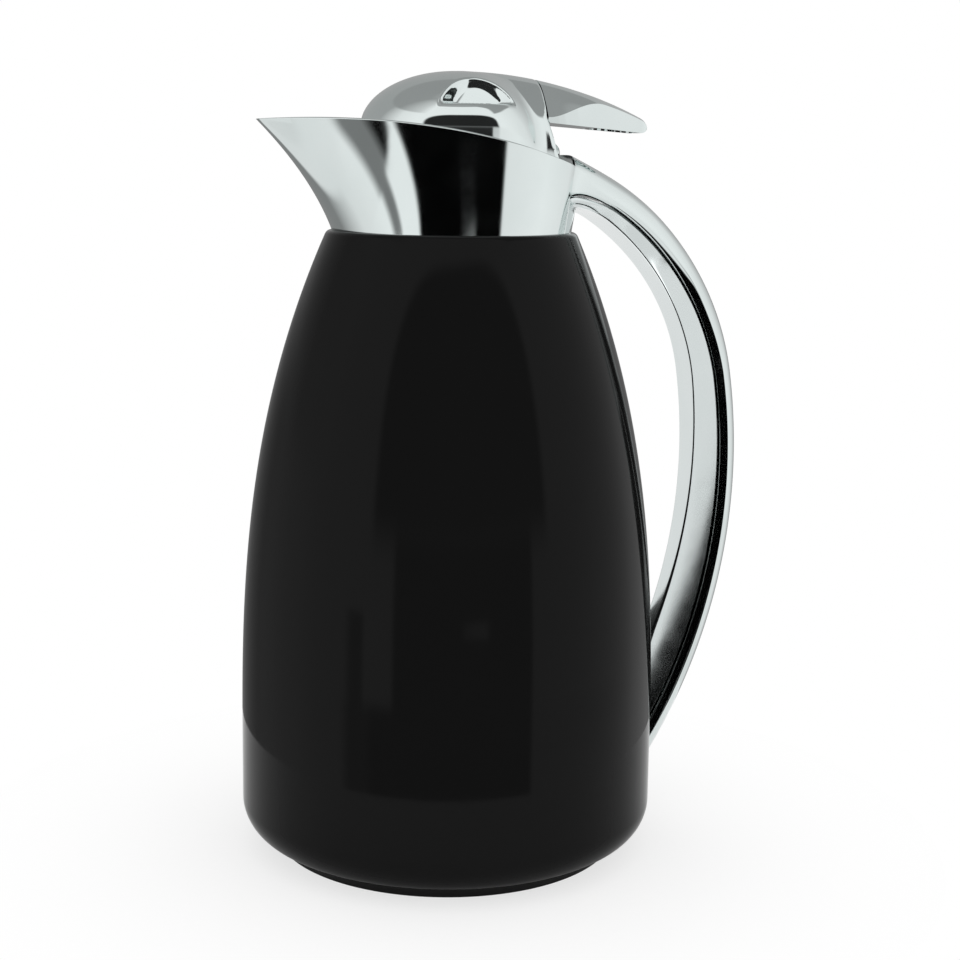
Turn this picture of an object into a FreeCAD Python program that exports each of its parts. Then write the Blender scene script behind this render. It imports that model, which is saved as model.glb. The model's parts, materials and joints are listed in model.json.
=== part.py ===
"""Thermal jug with a lacquered jacket over a glass vacuum flask.

The chromed collar carries the spout and a bow handle, and a lever lid turns on a hinge at its rear.
Sizes are in millimetres: the spout points along -X, the handle along +X, and the jug stands on z = 0.
"""
import FreeCAD
import Part
import math
import os
from FreeCAD import Vector

# Jacket, a drawn metal shell that leans in towards the neck
BODY_RADIUS = 70.0
JACKET_TOP_Z = 208.3
JACKET_FOOT_Z = 4.7
JACKET_WALL = 0.8
FOOT_CORNER_RADIUS = 12.3
FOOT_CORNER_ANGLE = 67.0
FOOT_LIP_RADIUS = 56.0
LEAN_START_Z = 30.0
LEAN_POWER = 2.75
SHOULDER_RADIUS = 2.2
NECK_HOLE_RADIUS = 34.5

# Collar and spout
COLLAR_RADIUS = 39.4
COLLAR_SETBACK = 1.6
COLLAR_WALL = 2.4
SPOUT_REACH = 65.3
SPOUT_CURL = 0.43
NOSE_PINCH = 0.5
SIDE_FLARE = 1.2
REAR_FLARE = 6.0
RIM_RISE = 35.6
RIM_PEAK_X = -48.0
RIM_BOW_RADIUS = 252.0
LIP_REAR_X = 36.5
COLLAR_FLOOR = 2.0
SKIRT_RADIUS = 33.0
SKIRT_WALL = 2.2
SKIRT_DEPTH = 13.0
NUT_RADIUS = 39.0
NUT_HEIGHT = 6.0
NUT_NOTCH_COUNT = 6
NUT_NOTCH_WIDTH = 5.0
NUT_NOTCH_DEPTH = 2.0

# Handle, two concentric bands along a bow of two tangent arcs
HANDLE_STANDOFF = 31.4
HANDLE_BOW_RADIUS = 200.0
HANDLE_TOP_RADIUS = 91.4
HANDLE_BREAK_ANGLE = 9.7
CREST_RISE = 25.0
SHELL_DEPTH = 8.0
SHELL_ROOT_DEPTH = 10.1
SHELL_SIDE = 3.1
SHELL_ROOT_SIDE = 1.9
SHELL_WALL = 2.2
INSERT_DEPTH = 8.6
INSERT_ROOT_DEPTH = 2.6
INSERT_FOOT_DEPTH = 13.6
INSERT_SIDE_SHARE = 0.27
HANDLE_HALF_WIDTH = 10.0
HANDLE_ROOT_HALF_WIDTH = 24.0
HANDLE_FOOT_HALF_WIDTH = 8.5
HANDLE_FLARE_POWER = 2.6
ROOT_OVERLAP_ANGLE = 5.0
FOOT_OVERLAP_ANGLE = 3.0
PARTING_GAP = 0.4
NOTCH_RISE = 13.0
SEAM_HALF_WIDTH = 23.5
HANDLE_BOSS = 12.0
HANDLE_SCREW_Z = 47.0
HANDLE_SCREW_RADIUS = 2.5
HANDLE_SCREW_LENGTH = 12.0
SCREW_HEAD_RADIUS = 4.5
SCREW_HEAD_HEIGHT = 2.6
SCREW_SLOT_WIDTH = 1.0
WASHER_RADIUS = 8.0
WASHER_HEIGHT = 1.2
WASHER_SAG = 0.6
STRIP_SCREW_RISE = 9.3
STRIP_SCREW_RADIUS = 1.2
STRIP_SCREW_LENGTH = 8.0

# Glass flask
FLASK_CLEARANCE = 12.0
FLASK_NECK_RADIUS = 19.0
GLASS_WALL = 1.6
VACUUM_GAP = 3.4
NECK_VACUUM_GAP = 2.0
FLASK_SHOULDER_HEIGHT = 75.0
FLASK_NECK_HEIGHT = 11.5
FLASK_LIP_DROP = 1.8
FLASK_BOTTOM_Z = 15.0
FLASK_BOTTOM_HEIGHT = 22.0
TIP_RADIUS = 3.0
TIP_LENGTH = 4.0
SPACER_COUNT = 3
SPACER_RADIUS = 5.0
SPACER_RING_RADIUS = 22.0
SEAL_THICKNESS = 2.0
SEAL_SKIRT = 6.0
SEAL_WALL = 1.8

# Base ring, screw-in base and cushion
FOOT_RADIUS = 58.0
FOOT_WIDTH = 6.5
FOOT_BEVEL = 0.8
RING_TOP_RADIUS = 60.5
RING_SPIGOT_HEIGHT = 8.0
RING_WALL = 2.0
BASE_RECESS = 1.2
BASE_PLATE = 2.4
BASE_SKIRT_HEIGHT = 6.0
GRIP_BAR_LENGTH = 44.0
GRIP_BAR_WIDTH = 9.0
GRIP_DISH_RADIUS = 30.0
GRIP_DISH_DEPTH = 3.2
CUSHION_RADIUS = 26.0
CUSHION_HOLE_RADIUS = 8.0

# Pouring funnel and hinge
SEAT_RISE = 13.7
SEAT_WALL = 3.0
SEAT_BEVEL = 3.0
SEAT_ROUND = 0.8
FUNNEL_FLOOR = 2.0
FUNNEL_SCREW_COUNT = 4
FUNNEL_SCREW_RADIUS = 1.4
FUNNEL_SCREW_HEAD_RADIUS = 2.5
FUNNEL_SCREW_HEAD = 1.2
HINGE_X = 30.3
HINGE_RISE = 25.7
EAR_RADIUS = 4.0
EAR_WIDTH = 4.0
KNUCKLE_WIDTH = 15.6
KNUCKLE_RADIUS = 3.4
PIN_RADIUS = 1.5
PIN_CLEARANCE = 0.05
SPRING_WIRE_RADIUS = 0.45
SPRING_TURNS = 4
SPRING_PITCH = 1.45
SPRING_LEG = 6.0
SPRING_CLEARANCE = 0.5

# Lid
LID_X = 1.0
LID_RADIUS = 32.5
LID_CROWN = 18.2
LID_TOP_RISE = 51.3
DOME_SKIRT = 2.9
DOME_WALL = 2.0
SPINE_BOW_RADIUS = 139.0
SPINE_PEAK_X = 3.0
SPINE_HALF_WIDTH = 11.5
SPINE_SHOULDER = 3.6
SPINE_REAR_X = 29.6
SCOOP_X = 5.5
SCOOP_HALF_LENGTH = 24.0
SCOOP_HALF_HEIGHT = 6.2
SCOOP_BITE = 7.0
SCOOP_DROP = 7.2
SCOOP_OVERLAP = 1.0
LEVER_GAP = 0.4
LEVER_TIP_X = 65.7
LEVER_ROOT_DEPTH = 12.4
LEVER_TIP_DEPTH = 4.0
LEVER_TIP_HALF_WIDTH = 8.5
LEVER_TIP_RADIUS = 18.7
LEVER_WALL = 2.0
TONGUE_RISE = 37.3
TONGUE_LENGTH = 14.0
TONGUE_HALF_WIDTH = 7.0
TONGUE_THICKNESS = 2.4
LID_CUP_RADIUS = 30.0
LID_CUP_WALL = 2.0
LID_FLOOR_RISE = 18.5
LID_FLOOR = 2.5
STOPPER_RADIUS = 23.6
PLUG_RADIUS = 17.4
PLUG_DEPTH = 2.6
LID_SEAL_HEIGHT = 2.0
INSULATION_HEIGHT = 5.0
LEVER_SCREW_RADIUS = 1.5
LEVER_SCREW_HEAD_RADIUS = 2.8
LEVER_SCREW_HEAD = 1.8
LEVER_SCREW_PITCH = 6.0
LEVER_SCREW_DEPTH = 8.0
BOSS_MARGIN = 3.0
BOSS_HALF_WIDTH = 6.0

# Sections and points along the drawn curves
TOP_STATIONS = 4
BOW_STATIONS = 5
JACKET_POINTS = 8
COLLAR_POINTS = 16

# Clearances
SEAT_CLEARANCE = 0.1
MOVING_CLEARANCE = 0.35
SEAL_CLEARANCE = 0.2

# Far enough to pass every wall in a cut, a cut's run past a face, and the least length that counts
REACH = 400.0
OVERCUT = 1.0
TOLERANCE = 0.01

# Levels and places worked out from the sizes above
JACKET_TOP_RADIUS = COLLAR_RADIUS + COLLAR_SETBACK
COLLAR_FLOOR_Z = JACKET_TOP_Z + COLLAR_FLOOR
FLASK_RADIUS = BODY_RADIUS - FLASK_CLEARANCE
LIP_Z = JACKET_TOP_Z - FLASK_LIP_DROP
NECK_BOTTOM_Z = LIP_Z - FLASK_NECK_HEIGHT
OUTER_NECK_RADIUS = FLASK_NECK_RADIUS + 2 * GLASS_WALL + NECK_VACUUM_GAP
SEAL_TOP_Z = LIP_Z + SEAL_THICKNESS
SEAT_Z = JACKET_TOP_Z + SEAT_RISE
SEAT_RADIUS = FLASK_NECK_RADIUS + SEAT_WALL
HINGE_Z = JACKET_TOP_Z + HINGE_RISE
LID_TOP_Z = JACKET_TOP_Z + LID_TOP_RISE
DOME_SPRING_Z = LID_TOP_Z - LID_CROWN
DOME_BOTTOM_Z = DOME_SPRING_Z - DOME_SKIRT
LID_FLOOR_Z = JACKET_TOP_Z + LID_FLOOR_RISE
LID_SEAL_Z = SEAT_Z + SEAL_CLEARANCE
HANDLE_REACH = BODY_RADIUS + HANDLE_STANDOFF
BREAK = math.radians(HANDLE_BREAK_ANGLE)
ARC_STEP = HANDLE_BOW_RADIUS - HANDLE_TOP_RADIUS
BOW_X = HANDLE_REACH - HANDLE_BOW_RADIUS
TOP_X = BOW_X + ARC_STEP * math.cos(BREAK)
CREST_SPAN = LIP_REAR_X - TOP_X
TOP_Z = JACKET_TOP_Z + CREST_RISE - math.sqrt(HANDLE_TOP_RADIUS ** 2 - CREST_SPAN ** 2)
BOW_Z = TOP_Z - ARC_STEP * math.sin(BREAK)
ROOT_ANGLE = math.acos(CREST_SPAN / HANDLE_TOP_RADIUS) + math.radians(ROOT_OVERLAP_ANGLE)
FOOT_ANGLE = -math.acos((BODY_RADIUS - BOW_X) / HANDLE_BOW_RADIUS) - math.radians(FOOT_OVERLAP_ANGLE)


def point(radius, z):
    """A point of a turned profile."""
    return Vector(radius, 0, z)


def spline(points, closed=False):
    """A smooth edge through the points."""
    curve = Part.BSplineCurve()
    curve.interpolate(Points=points, PeriodicFlag=closed)
    return curve.toShape()


def outline(start, *steps):
    """Closed face in the XZ plane; a step is a point, ("arc", middle, end) or ("curve", points)."""
    here = point(*start)
    edges = []
    for step in steps + (start,):
        if step[0] == "arc":
            end = point(*step[2])
            edges.append(Part.Arc(here, point(*step[1]), end).toShape())
        elif step[0] == "curve":
            through = [here] + [point(*place) for place in step[1]]
            end = through[-1]
            edges.append(spline(through))
        else:
            end = point(*step)
            if (end - here).Length > TOLERANCE:
                edges.append(Part.LineSegment(here, end).toShape())
        here = end
    return Part.Face(Part.Wire(edges))


def turned(start, *steps):
    """Solid of revolution about the jug's axis."""
    return outline(start, *steps).revolve(Vector(0, 0, 0), Vector(0, 0, 1), 360)


def ring(inner, outer, low, high):
    """Plain ring about the jug's axis."""
    return turned((inner, low), (outer, low), (outer, high), (inner, high))


def disc(radius, low, high):
    """Plain disc about the jug's axis."""
    return Part.makeCylinder(radius, high - low, Vector(0, 0, low))


def rod(radius, start, end):
    """Cylinder from one point to another."""
    start = Vector(*start)
    along = Vector(*end) - start
    return Part.makeCylinder(radius, along.Length, start, along)


def block(x_low, x_high, half_width, z_low, z_high):
    """Box centred on the jug's plane of symmetry."""
    return Part.makeBox(x_high - x_low, 2 * half_width, z_high - z_low, Vector(x_low, -half_width, z_low))


def around(shape, count, first=0.0):
    """Copies of a shape spaced evenly about the jug's axis."""
    copies = []
    for index in range(count):
        copy = shape.copy()
        copy.rotate(Vector(0, 0, 0), Vector(0, 0, 1), first + 360.0 * index / count)
        copies.append(copy)
    return copies


def loft(wires):
    """Smooth solid through closed wires."""
    return Part.makeLoft(wires, True, False)


def jacket_radius(z):
    """Radius of the jacket's wall, which leans in by a power of the height above its straight part."""
    share = max(0.0, z - LEAN_START_Z) / (JACKET_TOP_Z - LEAN_START_Z)
    return BODY_RADIUS - (BODY_RADIUS - JACKET_TOP_RADIUS) * share ** LEAN_POWER


def jacket_form(inset):
    """Solid form of the jacket, drawn in by an inset all over."""
    corner = FOOT_CORNER_RADIUS - inset
    centre_r = BODY_RADIUS - FOOT_CORNER_RADIUS
    corner_z = JACKET_FOOT_Z + FOOT_CORNER_RADIUS * math.sin(math.radians(FOOT_CORNER_ANGLE))
    low = JACKET_FOOT_Z + inset
    swing = math.asin((corner_z - low) / corner)
    middle = (centre_r + corner * math.cos(swing / 2), corner_z - corner * math.sin(swing / 2))
    foot = (centre_r + corner * math.cos(swing), low)
    top = JACKET_TOP_Z - inset
    step = (top - LEAN_START_Z) / JACKET_POINTS
    heights = [LEAN_START_Z + step * index for index in range(1, JACKET_POINTS + 1)]
    wall = [(jacket_radius(z) - inset, z) for z in heights]
    return turned((0, low), foot, ("arc", middle, (BODY_RADIUS - inset, corner_z)),
                  (BODY_RADIUS - inset, LEAN_START_Z), ("curve", wall), (0, top))


def body_casing():
    """Lacquered jacket with a rounded shoulder, a neck hole and a turned-in foot lip."""
    form = jacket_form(0.0)
    high = [edge for edge in form.Edges if edge.BoundBox.ZMin > JACKET_TOP_Z - TOLERANCE]
    shoulder = [edge for edge in high if edge.BoundBox.XMax > JACKET_TOP_RADIUS - TOLERANCE]
    form = form.makeFillet(SHOULDER_RADIUS, shoulder)
    shell = form.cut(jacket_form(JACKET_WALL))
    shell = shell.cut(disc(NECK_HOLE_RADIUS, JACKET_TOP_Z - SHOULDER_RADIUS, JACKET_TOP_Z + OVERCUT))
    shell = shell.cut(disc(FOOT_LIP_RADIUS, 0, JACKET_FOOT_Z + FOOT_CORNER_RADIUS / 2))
    hole = rod(HANDLE_SCREW_RADIUS + SEAT_CLEARANCE, (0, 0, HANDLE_SCREW_Z), (REACH, 0, HANDLE_SCREW_Z))
    return shell.cut(hole)


def base_ring():
    """Black foot ring whose spigot stands inside the jacket's lip."""
    spigot = FOOT_LIP_RADIUS - SEAT_CLEARANCE
    top = JACKET_FOOT_Z + RING_SPIGOT_HEIGHT
    inner = spigot - RING_WALL
    return turned((FOOT_RADIUS - FOOT_WIDTH, 0), (FOOT_RADIUS - FOOT_BEVEL, 0), (FOOT_RADIUS, FOOT_BEVEL),
                  (RING_TOP_RADIUS, JACKET_FOOT_Z), (spigot, JACKET_FOOT_Z), (spigot, top), (inner, top),
                  (inner, JACKET_FOOT_Z), (FOOT_RADIUS - FOOT_WIDTH, JACKET_FOOT_Z - RING_WALL))


def base_cap():
    """Screw-in base plate with a threaded skirt and a dished finger bar."""
    low = BASE_RECESS
    rim = FOOT_RADIUS - FOOT_WIDTH - SEAT_CLEARANCE
    top = low + BASE_PLATE
    skirt_top = top + BASE_SKIRT_HEIGHT
    plate = disc(rim, low, top)
    dish = disc(GRIP_DISH_RADIUS + RING_WALL, top, top + GRIP_DISH_DEPTH)
    hollow = disc(GRIP_DISH_RADIUS, low, low + GRIP_DISH_DEPTH)
    bar = block(-GRIP_BAR_LENGTH, GRIP_BAR_LENGTH, GRIP_BAR_WIDTH / 2, low, low + GRIP_DISH_DEPTH)
    skirt = ring(rim - RING_WALL, rim, low, skirt_top)
    return plate.fuse(dish).cut(hollow.cut(bar)).fuse(skirt).removeSplitter()


def flask_bottom(inset):
    """Ends and middle of the flask's bottom curve, an ellipse drawn in by an inset."""
    wide = FLASK_RADIUS - inset
    deep = FLASK_BOTTOM_HEIGHT - inset
    top = FLASK_BOTTOM_Z + FLASK_BOTTOM_HEIGHT
    angles = [math.radians(angle) for angle in (-75, -60, -45, -30, -15, 0)]
    return [(wide * math.cos(angle), top + deep * math.sin(angle)) for angle in angles]


def flask_shoulder(inset, neck):
    """Points of the flask's shoulder, an ellipse from the wall to the neck, drawn in by an inset."""
    low = NECK_BOTTOM_Z - FLASK_SHOULDER_HEIGHT
    wide = FLASK_RADIUS - inset - neck
    high = FLASK_SHOULDER_HEIGHT - inset
    angles = [math.radians(angle) for angle in (15, 30, 45, 60, 72)]
    points = [(neck + wide * math.cos(angle), low + high * math.sin(angle)) for angle in angles]
    return (FLASK_RADIUS - inset, low), points


def bulb(inset, neck, top):
    """Solid glass bulb form drawn in by an inset, with a straight neck."""
    bottom = flask_bottom(inset)
    low = FLASK_BOTTOM_Z + inset
    wall_top, shoulder = flask_shoulder(inset, neck)
    return turned((0, low), ("curve", [(bottom[0][0] / 2, (2 * low + bottom[0][1]) / 3)] + bottom),
                  wall_top, ("curve", shoulder + [(neck, NECK_BOTTOM_Z)]), (neck, top), (0, top))


def outer_flask():
    """Outer glass bulb with its sealed evacuation tip."""
    outside = bulb(0.0, OUTER_NECK_RADIUS, LIP_Z)
    tip = turned((0, FLASK_BOTTOM_Z - TIP_LENGTH), (TIP_RADIUS / 2, FLASK_BOTTOM_Z - TIP_LENGTH),
                 (TIP_RADIUS, FLASK_BOTTOM_Z + GLASS_WALL / 2), (0, FLASK_BOTTOM_Z + GLASS_WALL / 2))
    inside = bulb(GLASS_WALL, OUTER_NECK_RADIUS - GLASS_WALL, LIP_Z + OVERCUT)
    return outside.fuse(tip).cut(inside)


def inner_flask():
    """Inner glass bulb, joined to the outer one by its rolled lip."""
    inset = GLASS_WALL + VACUUM_GAP
    outside = bulb(inset, FLASK_NECK_RADIUS + GLASS_WALL, LIP_Z)
    lip = ring(FLASK_NECK_RADIUS, OUTER_NECK_RADIUS - GLASS_WALL, LIP_Z - GLASS_WALL, LIP_Z)
    inside = bulb(inset + GLASS_WALL, FLASK_NECK_RADIUS, LIP_Z + OVERCUT)
    return outside.fuse(lip).cut(inside)


def flask_spacers():
    """Small pads that hold the two bulbs apart at the bottom."""
    post = disc(SPACER_RADIUS, FLASK_BOTTOM_Z, FLASK_BOTTOM_Z + FLASK_BOTTOM_HEIGHT)
    post.translate(Vector(SPACER_RING_RADIUS, 0, 0))
    gap = bulb(GLASS_WALL, OUTER_NECK_RADIUS, LIP_Z).cut(
        bulb(GLASS_WALL + VACUUM_GAP, FLASK_NECK_RADIUS + GLASS_WALL, LIP_Z))
    return Part.makeCompound([pad.common(gap) for pad in around(post, SPACER_COUNT)])


def flask_cushion():
    """Rubber seat between the base cap and the flask."""
    low = BASE_RECESS + BASE_PLATE + GRIP_DISH_DEPTH
    block_form = ring(CUSHION_HOLE_RADIUS, CUSHION_RADIUS, low, FLASK_BOTTOM_Z + FLASK_BOTTOM_HEIGHT / 2)
    return block_form.cut(bulb(0.0, OUTER_NECK_RADIUS, LIP_Z))


def neck_seal():
    """Silicone ring over the flask's lip."""
    inner = OUTER_NECK_RADIUS + SEAT_CLEARANCE
    return turned((FLASK_NECK_RADIUS, LIP_Z), (inner, LIP_Z), (inner, LIP_Z - SEAL_SKIRT),
                  (inner + SEAL_WALL, LIP_Z - SEAL_SKIRT), (inner + SEAL_WALL, SEAL_TOP_Z),
                  (FLASK_NECK_RADIUS, SEAL_TOP_Z))


def collar_section(rise, inset, rear=None):
    """Level outline of the collar: round at the foot, drawn out to a narrow nose at the rim."""
    share = rise / RIM_RISE
    reach = (1 - SPOUT_CURL) * share + SPOUT_CURL * share ** 2
    front = COLLAR_RADIUS + (SPOUT_REACH - COLLAR_RADIUS) * reach - inset
    side = COLLAR_RADIUS + SIDE_FLARE * share - inset
    back = rear if rear else COLLAR_RADIUS + REAR_FLARE * share - inset
    points = []
    for index in range(COLLAR_POINTS):
        angle = 2 * math.pi * index / COLLAR_POINTS
        cosine = math.cos(angle)
        pinch = NOSE_PINCH * share * max(0.0, -cosine) ** 2
        x = cosine * (front if cosine < 0 else back)
        points.append(Vector(x, side * math.sin(angle) * (1 - pinch), JACKET_TOP_Z + rise))
    return Part.Wire([spline(points, True)])


def collar_form(inset, rear=None):
    """Solid flared form of the collar, taller than its rim."""
    shares = (0.0, 0.3, 0.6, 0.9, 1.15)
    return loft([collar_section(RIM_RISE * share, inset, rear) for share in shares])


def above_rim():
    """Everything above the collar's bowed rim line."""
    peak_z = JACKET_TOP_Z + RIM_RISE
    ends = (-REACH / 4, REACH / 4)

    def rim(x):
        return x, peak_z - RIM_BOW_RADIUS + math.sqrt(RIM_BOW_RADIUS ** 2 - (x - RIM_PEAK_X) ** 2)

    face = outline(rim(ends[0]), ("arc", rim(RIM_PEAK_X), rim(ends[1])), (ends[1], REACH), (ends[0], REACH))
    prism = face.extrude(Vector(0, REACH, 0))
    prism.translate(Vector(0, -REACH / 2, 0))
    return prism


def handle_stations():
    """Centre, arc radius and angle of each station along the handle, from the collar to the foot."""
    stations = []
    for index in range(TOP_STATIONS):
        angle = ROOT_ANGLE + (BREAK - ROOT_ANGLE) * index / TOP_STATIONS
        stations.append((TOP_X, TOP_Z, HANDLE_TOP_RADIUS, angle))
    for index in range(BOW_STATIONS + 1):
        angle = BREAK + (FOOT_ANGLE - BREAK) * index / BOW_STATIONS
        stations.append((BOW_X, BOW_Z, HANDLE_BOW_RADIUS, angle))
    return stations


def along_handle(angle, root, bow, foot, power=1.0):
    """A size that changes from the handle's root to where its arcs meet, and from there to its foot."""
    if angle < BREAK:
        return bow + (foot - bow) * (BREAK - angle) / (BREAK - FOOT_ANGLE)
    return bow + (root - bow) * ((angle - BREAK) / (ROOT_ANGLE - BREAK)) ** power


def shell_depth(angle):
    """Depth of the parting line below the crest."""
    return along_handle(angle, SHELL_ROOT_DEPTH, SHELL_DEPTH, SHELL_DEPTH)


def handle_section(station, base, side, crown, inset):
    """Closed section across the handle: flat at the base, straight sides and a crowned face."""
    centre_x, centre_z, radius, angle = station
    half = along_handle(angle, HANDLE_ROOT_HALF_WIDTH, HANDLE_HALF_WIDTH, HANDLE_FOOT_HALF_WIDTH,
                        HANDLE_FLARE_POWER) - inset

    def place(y, depth):
        reach = radius - depth
        return Vector(centre_x + reach * math.cos(angle), y, centre_z + reach * math.sin(angle))

    left_base, right_base = place(-half, base), place(half, base)
    left_side, right_side = place(-half, side), place(half, side)
    return Part.Wire([
        Part.LineSegment(left_base, left_side).toShape(),
        Part.Arc(left_side, place(0, crown), right_side).toShape(),
        Part.LineSegment(right_side, right_base).toShape(),
        Part.LineSegment(right_base, left_base).toShape()])


def shell_band(inset, run_out):
    """Outer band of the handle, from the crest to the parting line or a run-out past it."""
    wires = []
    for station in handle_stations():
        depth = shell_depth(station[3])
        side = along_handle(station[3], SHELL_ROOT_SIDE, SHELL_SIDE, SHELL_SIDE)
        wires.append(handle_section(station, depth + run_out, depth - side + inset / 2, inset, inset))
    return loft(wires)


def insert_band(inset, run_out):
    """Inner band of the handle, from the parting line or a run-out past it to the grip face."""
    wires = []
    for station in handle_stations():
        low = shell_depth(station[3]) + PARTING_GAP
        deep = along_handle(station[3], INSERT_ROOT_DEPTH, INSERT_DEPTH, INSERT_FOOT_DEPTH)
        side = low + INSERT_SIDE_SHARE * deep
        wires.append(handle_section(station, low - run_out, side, low + deep - inset, inset))
    return loft(wires)


def hollow_zone():
    """Stretch of the handle whose two bands are hollow, short of their solid ends."""
    return block(LIP_REAR_X + HANDLE_BOSS, REACH, REACH / 4, HANDLE_SCREW_Z + HANDLE_BOSS, REACH)


def strip_window(clearance):
    """Window in the collar's rear wall that the handle insert's strip fills."""
    top = JACKET_TOP_Z + NOTCH_RISE - clearance
    window = block(0, REACH / 2, SEAM_HALF_WIDTH - clearance, JACKET_TOP_Z - OVERCUT, top)
    return window.cut(disc(COLLAR_RADIUS - COLLAR_WALL / 2 + clearance / 2, 0, REACH))


def strip_screw_shank():
    """Shank of the screw that holds the insert's strip to the collar's rear wall, and its bore."""
    z = JACKET_TOP_Z + STRIP_SCREW_RISE
    return rod(STRIP_SCREW_RADIUS, (LIP_REAR_X, 0, z), (LIP_REAR_X + STRIP_SCREW_LENGTH, 0, z))


def collar_handle_shell():
    """Chromed collar with its spout, clamping skirt and the handle's outer band in one moulding."""
    inside = collar_form(COLLAR_WALL, LIP_REAR_X)
    collar = collar_form(0.0).cut(inside).cut(above_rim())
    collar = collar.cut(strip_window(0.0))
    hollow = shell_band(SHELL_WALL, OVERCUT).common(hollow_zone())
    band = shell_band(0.0, 0.0).cut(hollow)
    outside = Part.makeBox(REACH, REACH, REACH, Vector(0, -REACH / 2, 0)).cut(inside)
    band = band.common(outside).cut(jacket_form(-SEAT_CLEARANCE))
    floor_rim = COLLAR_RADIUS - 0.75 * COLLAR_WALL
    floor = ring(SKIRT_RADIUS - SKIRT_WALL, floor_rim, JACKET_TOP_Z, COLLAR_FLOOR_Z)
    skirt = ring(SKIRT_RADIUS - SKIRT_WALL, SKIRT_RADIUS, COLLAR_FLOOR_Z - SKIRT_DEPTH, COLLAR_FLOOR_Z)
    whole = collar.fuse(band).fuse(floor).fuse(skirt)
    return whole.cut(strip_screw()).cut(handle_screw_bore())


def handle_insert():
    """Inner half of the handle, with the strip that closes the collar's rear wall."""
    hollow = insert_band(SHELL_WALL, OVERCUT).common(hollow_zone())
    band = insert_band(0.0, 0.0).cut(hollow)
    collar = collar_form(0.0)
    band = band.cut(collar).cut(jacket_form(-SEAT_CLEARANCE))
    strip = collar.common(strip_window(PARTING_GAP))
    return band.fuse(strip).cut(handle_screw_bore()).cut(strip_screw_shank())


def handle_screw_bore():
    """Bore in the handle's foot for the screw from inside the jacket."""
    end = handle_screw_head_x() + HANDLE_SCREW_LENGTH
    return rod(HANDLE_SCREW_RADIUS, (BODY_RADIUS / 2, 0, HANDLE_SCREW_Z), (end, 0, HANDLE_SCREW_Z))


def handle_screw_head_x():
    """Where the handle screw's head bears on its washer inside the jacket."""
    return BODY_RADIUS - JACKET_WALL - WASHER_HEIGHT - WASHER_SAG


def handle_screw():
    """Screw through the jacket into the handle's foot."""
    x = handle_screw_head_x()
    head = rod(SCREW_HEAD_RADIUS, (x - SCREW_HEAD_HEIGHT, 0, HANDLE_SCREW_Z), (x, 0, HANDLE_SCREW_Z))
    shank = rod(HANDLE_SCREW_RADIUS, (x, 0, HANDLE_SCREW_Z), (x + HANDLE_SCREW_LENGTH, 0, HANDLE_SCREW_Z))
    slot = block(x - SCREW_HEAD_HEIGHT, x - SCREW_HEAD_HEIGHT / 2, SCREW_SLOT_WIDTH / 2,
                 HANDLE_SCREW_Z - SCREW_HEAD_RADIUS, HANDLE_SCREW_Z + SCREW_HEAD_RADIUS)
    return head.fuse(shank).cut(slot).removeSplitter()


def handle_washer():
    """Saddle washer that spreads the handle screw's load over the jacket's curve."""
    x = handle_screw_head_x()
    blank = rod(WASHER_RADIUS, (x, 0, HANDLE_SCREW_Z), (x + 3 * WASHER_HEIGHT, 0, HANDLE_SCREW_Z))
    bore = rod(HANDLE_SCREW_RADIUS + SEAT_CLEARANCE, (0, 0, HANDLE_SCREW_Z), (REACH, 0, HANDLE_SCREW_Z))
    return blank.common(jacket_form(JACKET_WALL + SEAT_CLEARANCE / 2)).cut(bore)


def strip_screw():
    """Screw from inside the collar into the insert's strip."""
    z = JACKET_TOP_Z + STRIP_SCREW_RISE
    head = rod(2 * STRIP_SCREW_RADIUS, (LIP_REAR_X - SCREW_HEAD_HEIGHT / 2, 0, z), (LIP_REAR_X, 0, z))
    return head.fuse(strip_screw_shank()).removeSplitter()


def collar_nut():
    """Nut on the collar's skirt that clamps the jacket's neck."""
    top = JACKET_TOP_Z - JACKET_WALL - SEAT_CLEARANCE
    nut = ring(SKIRT_RADIUS + SEAT_CLEARANCE, NUT_RADIUS, top - NUT_HEIGHT, top)
    notch = block(NUT_RADIUS - NUT_NOTCH_DEPTH, REACH, NUT_NOTCH_WIDTH / 2, top - NUT_HEIGHT, top)
    nut = nut.common(jacket_form(JACKET_WALL + SEAT_CLEARANCE))
    return nut.cut(Part.makeCompound(around(notch, NUT_NOTCH_COUNT)))


def ear(side):
    """One hinge ear of the funnel, rounded about the pin."""
    near = KNUCKLE_WIDTH / 2 + MOVING_CLEARANCE
    low = COLLAR_FLOOR_Z + FUNNEL_FLOOR / 2
    front = HINGE_X - EAR_RADIUS
    back = HINGE_X + EAR_RADIUS
    crown = ("arc", (HINGE_X, HINGE_Z + EAR_RADIUS), (front, HINGE_Z))
    face = outline((front, low), (back, low), (back, HINGE_Z), crown)
    solid = face.extrude(Vector(0, EAR_WIDTH, 0))
    solid.translate(Vector(0, near if side > 0 else -near - EAR_WIDTH, 0))
    return solid


def funnel_screw_places():
    """Angle of the first funnel screw and the radius of their circle."""
    return 45.0, (SKIRT_RADIUS - SKIRT_WALL + COLLAR_RADIUS - COLLAR_WALL) / 2


def pour_seat():
    """Sleeve between the flask's seal and the lid, with a rim that the lid's seal closes on."""
    return turned((FLASK_NECK_RADIUS, SEAL_TOP_Z), (SEAT_RADIUS, SEAL_TOP_Z),
                  (SEAT_RADIUS, SEAT_Z - SEAT_ROUND), (SEAT_RADIUS - SEAT_ROUND, SEAT_Z),
                  (FLASK_NECK_RADIUS, SEAT_Z))


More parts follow.
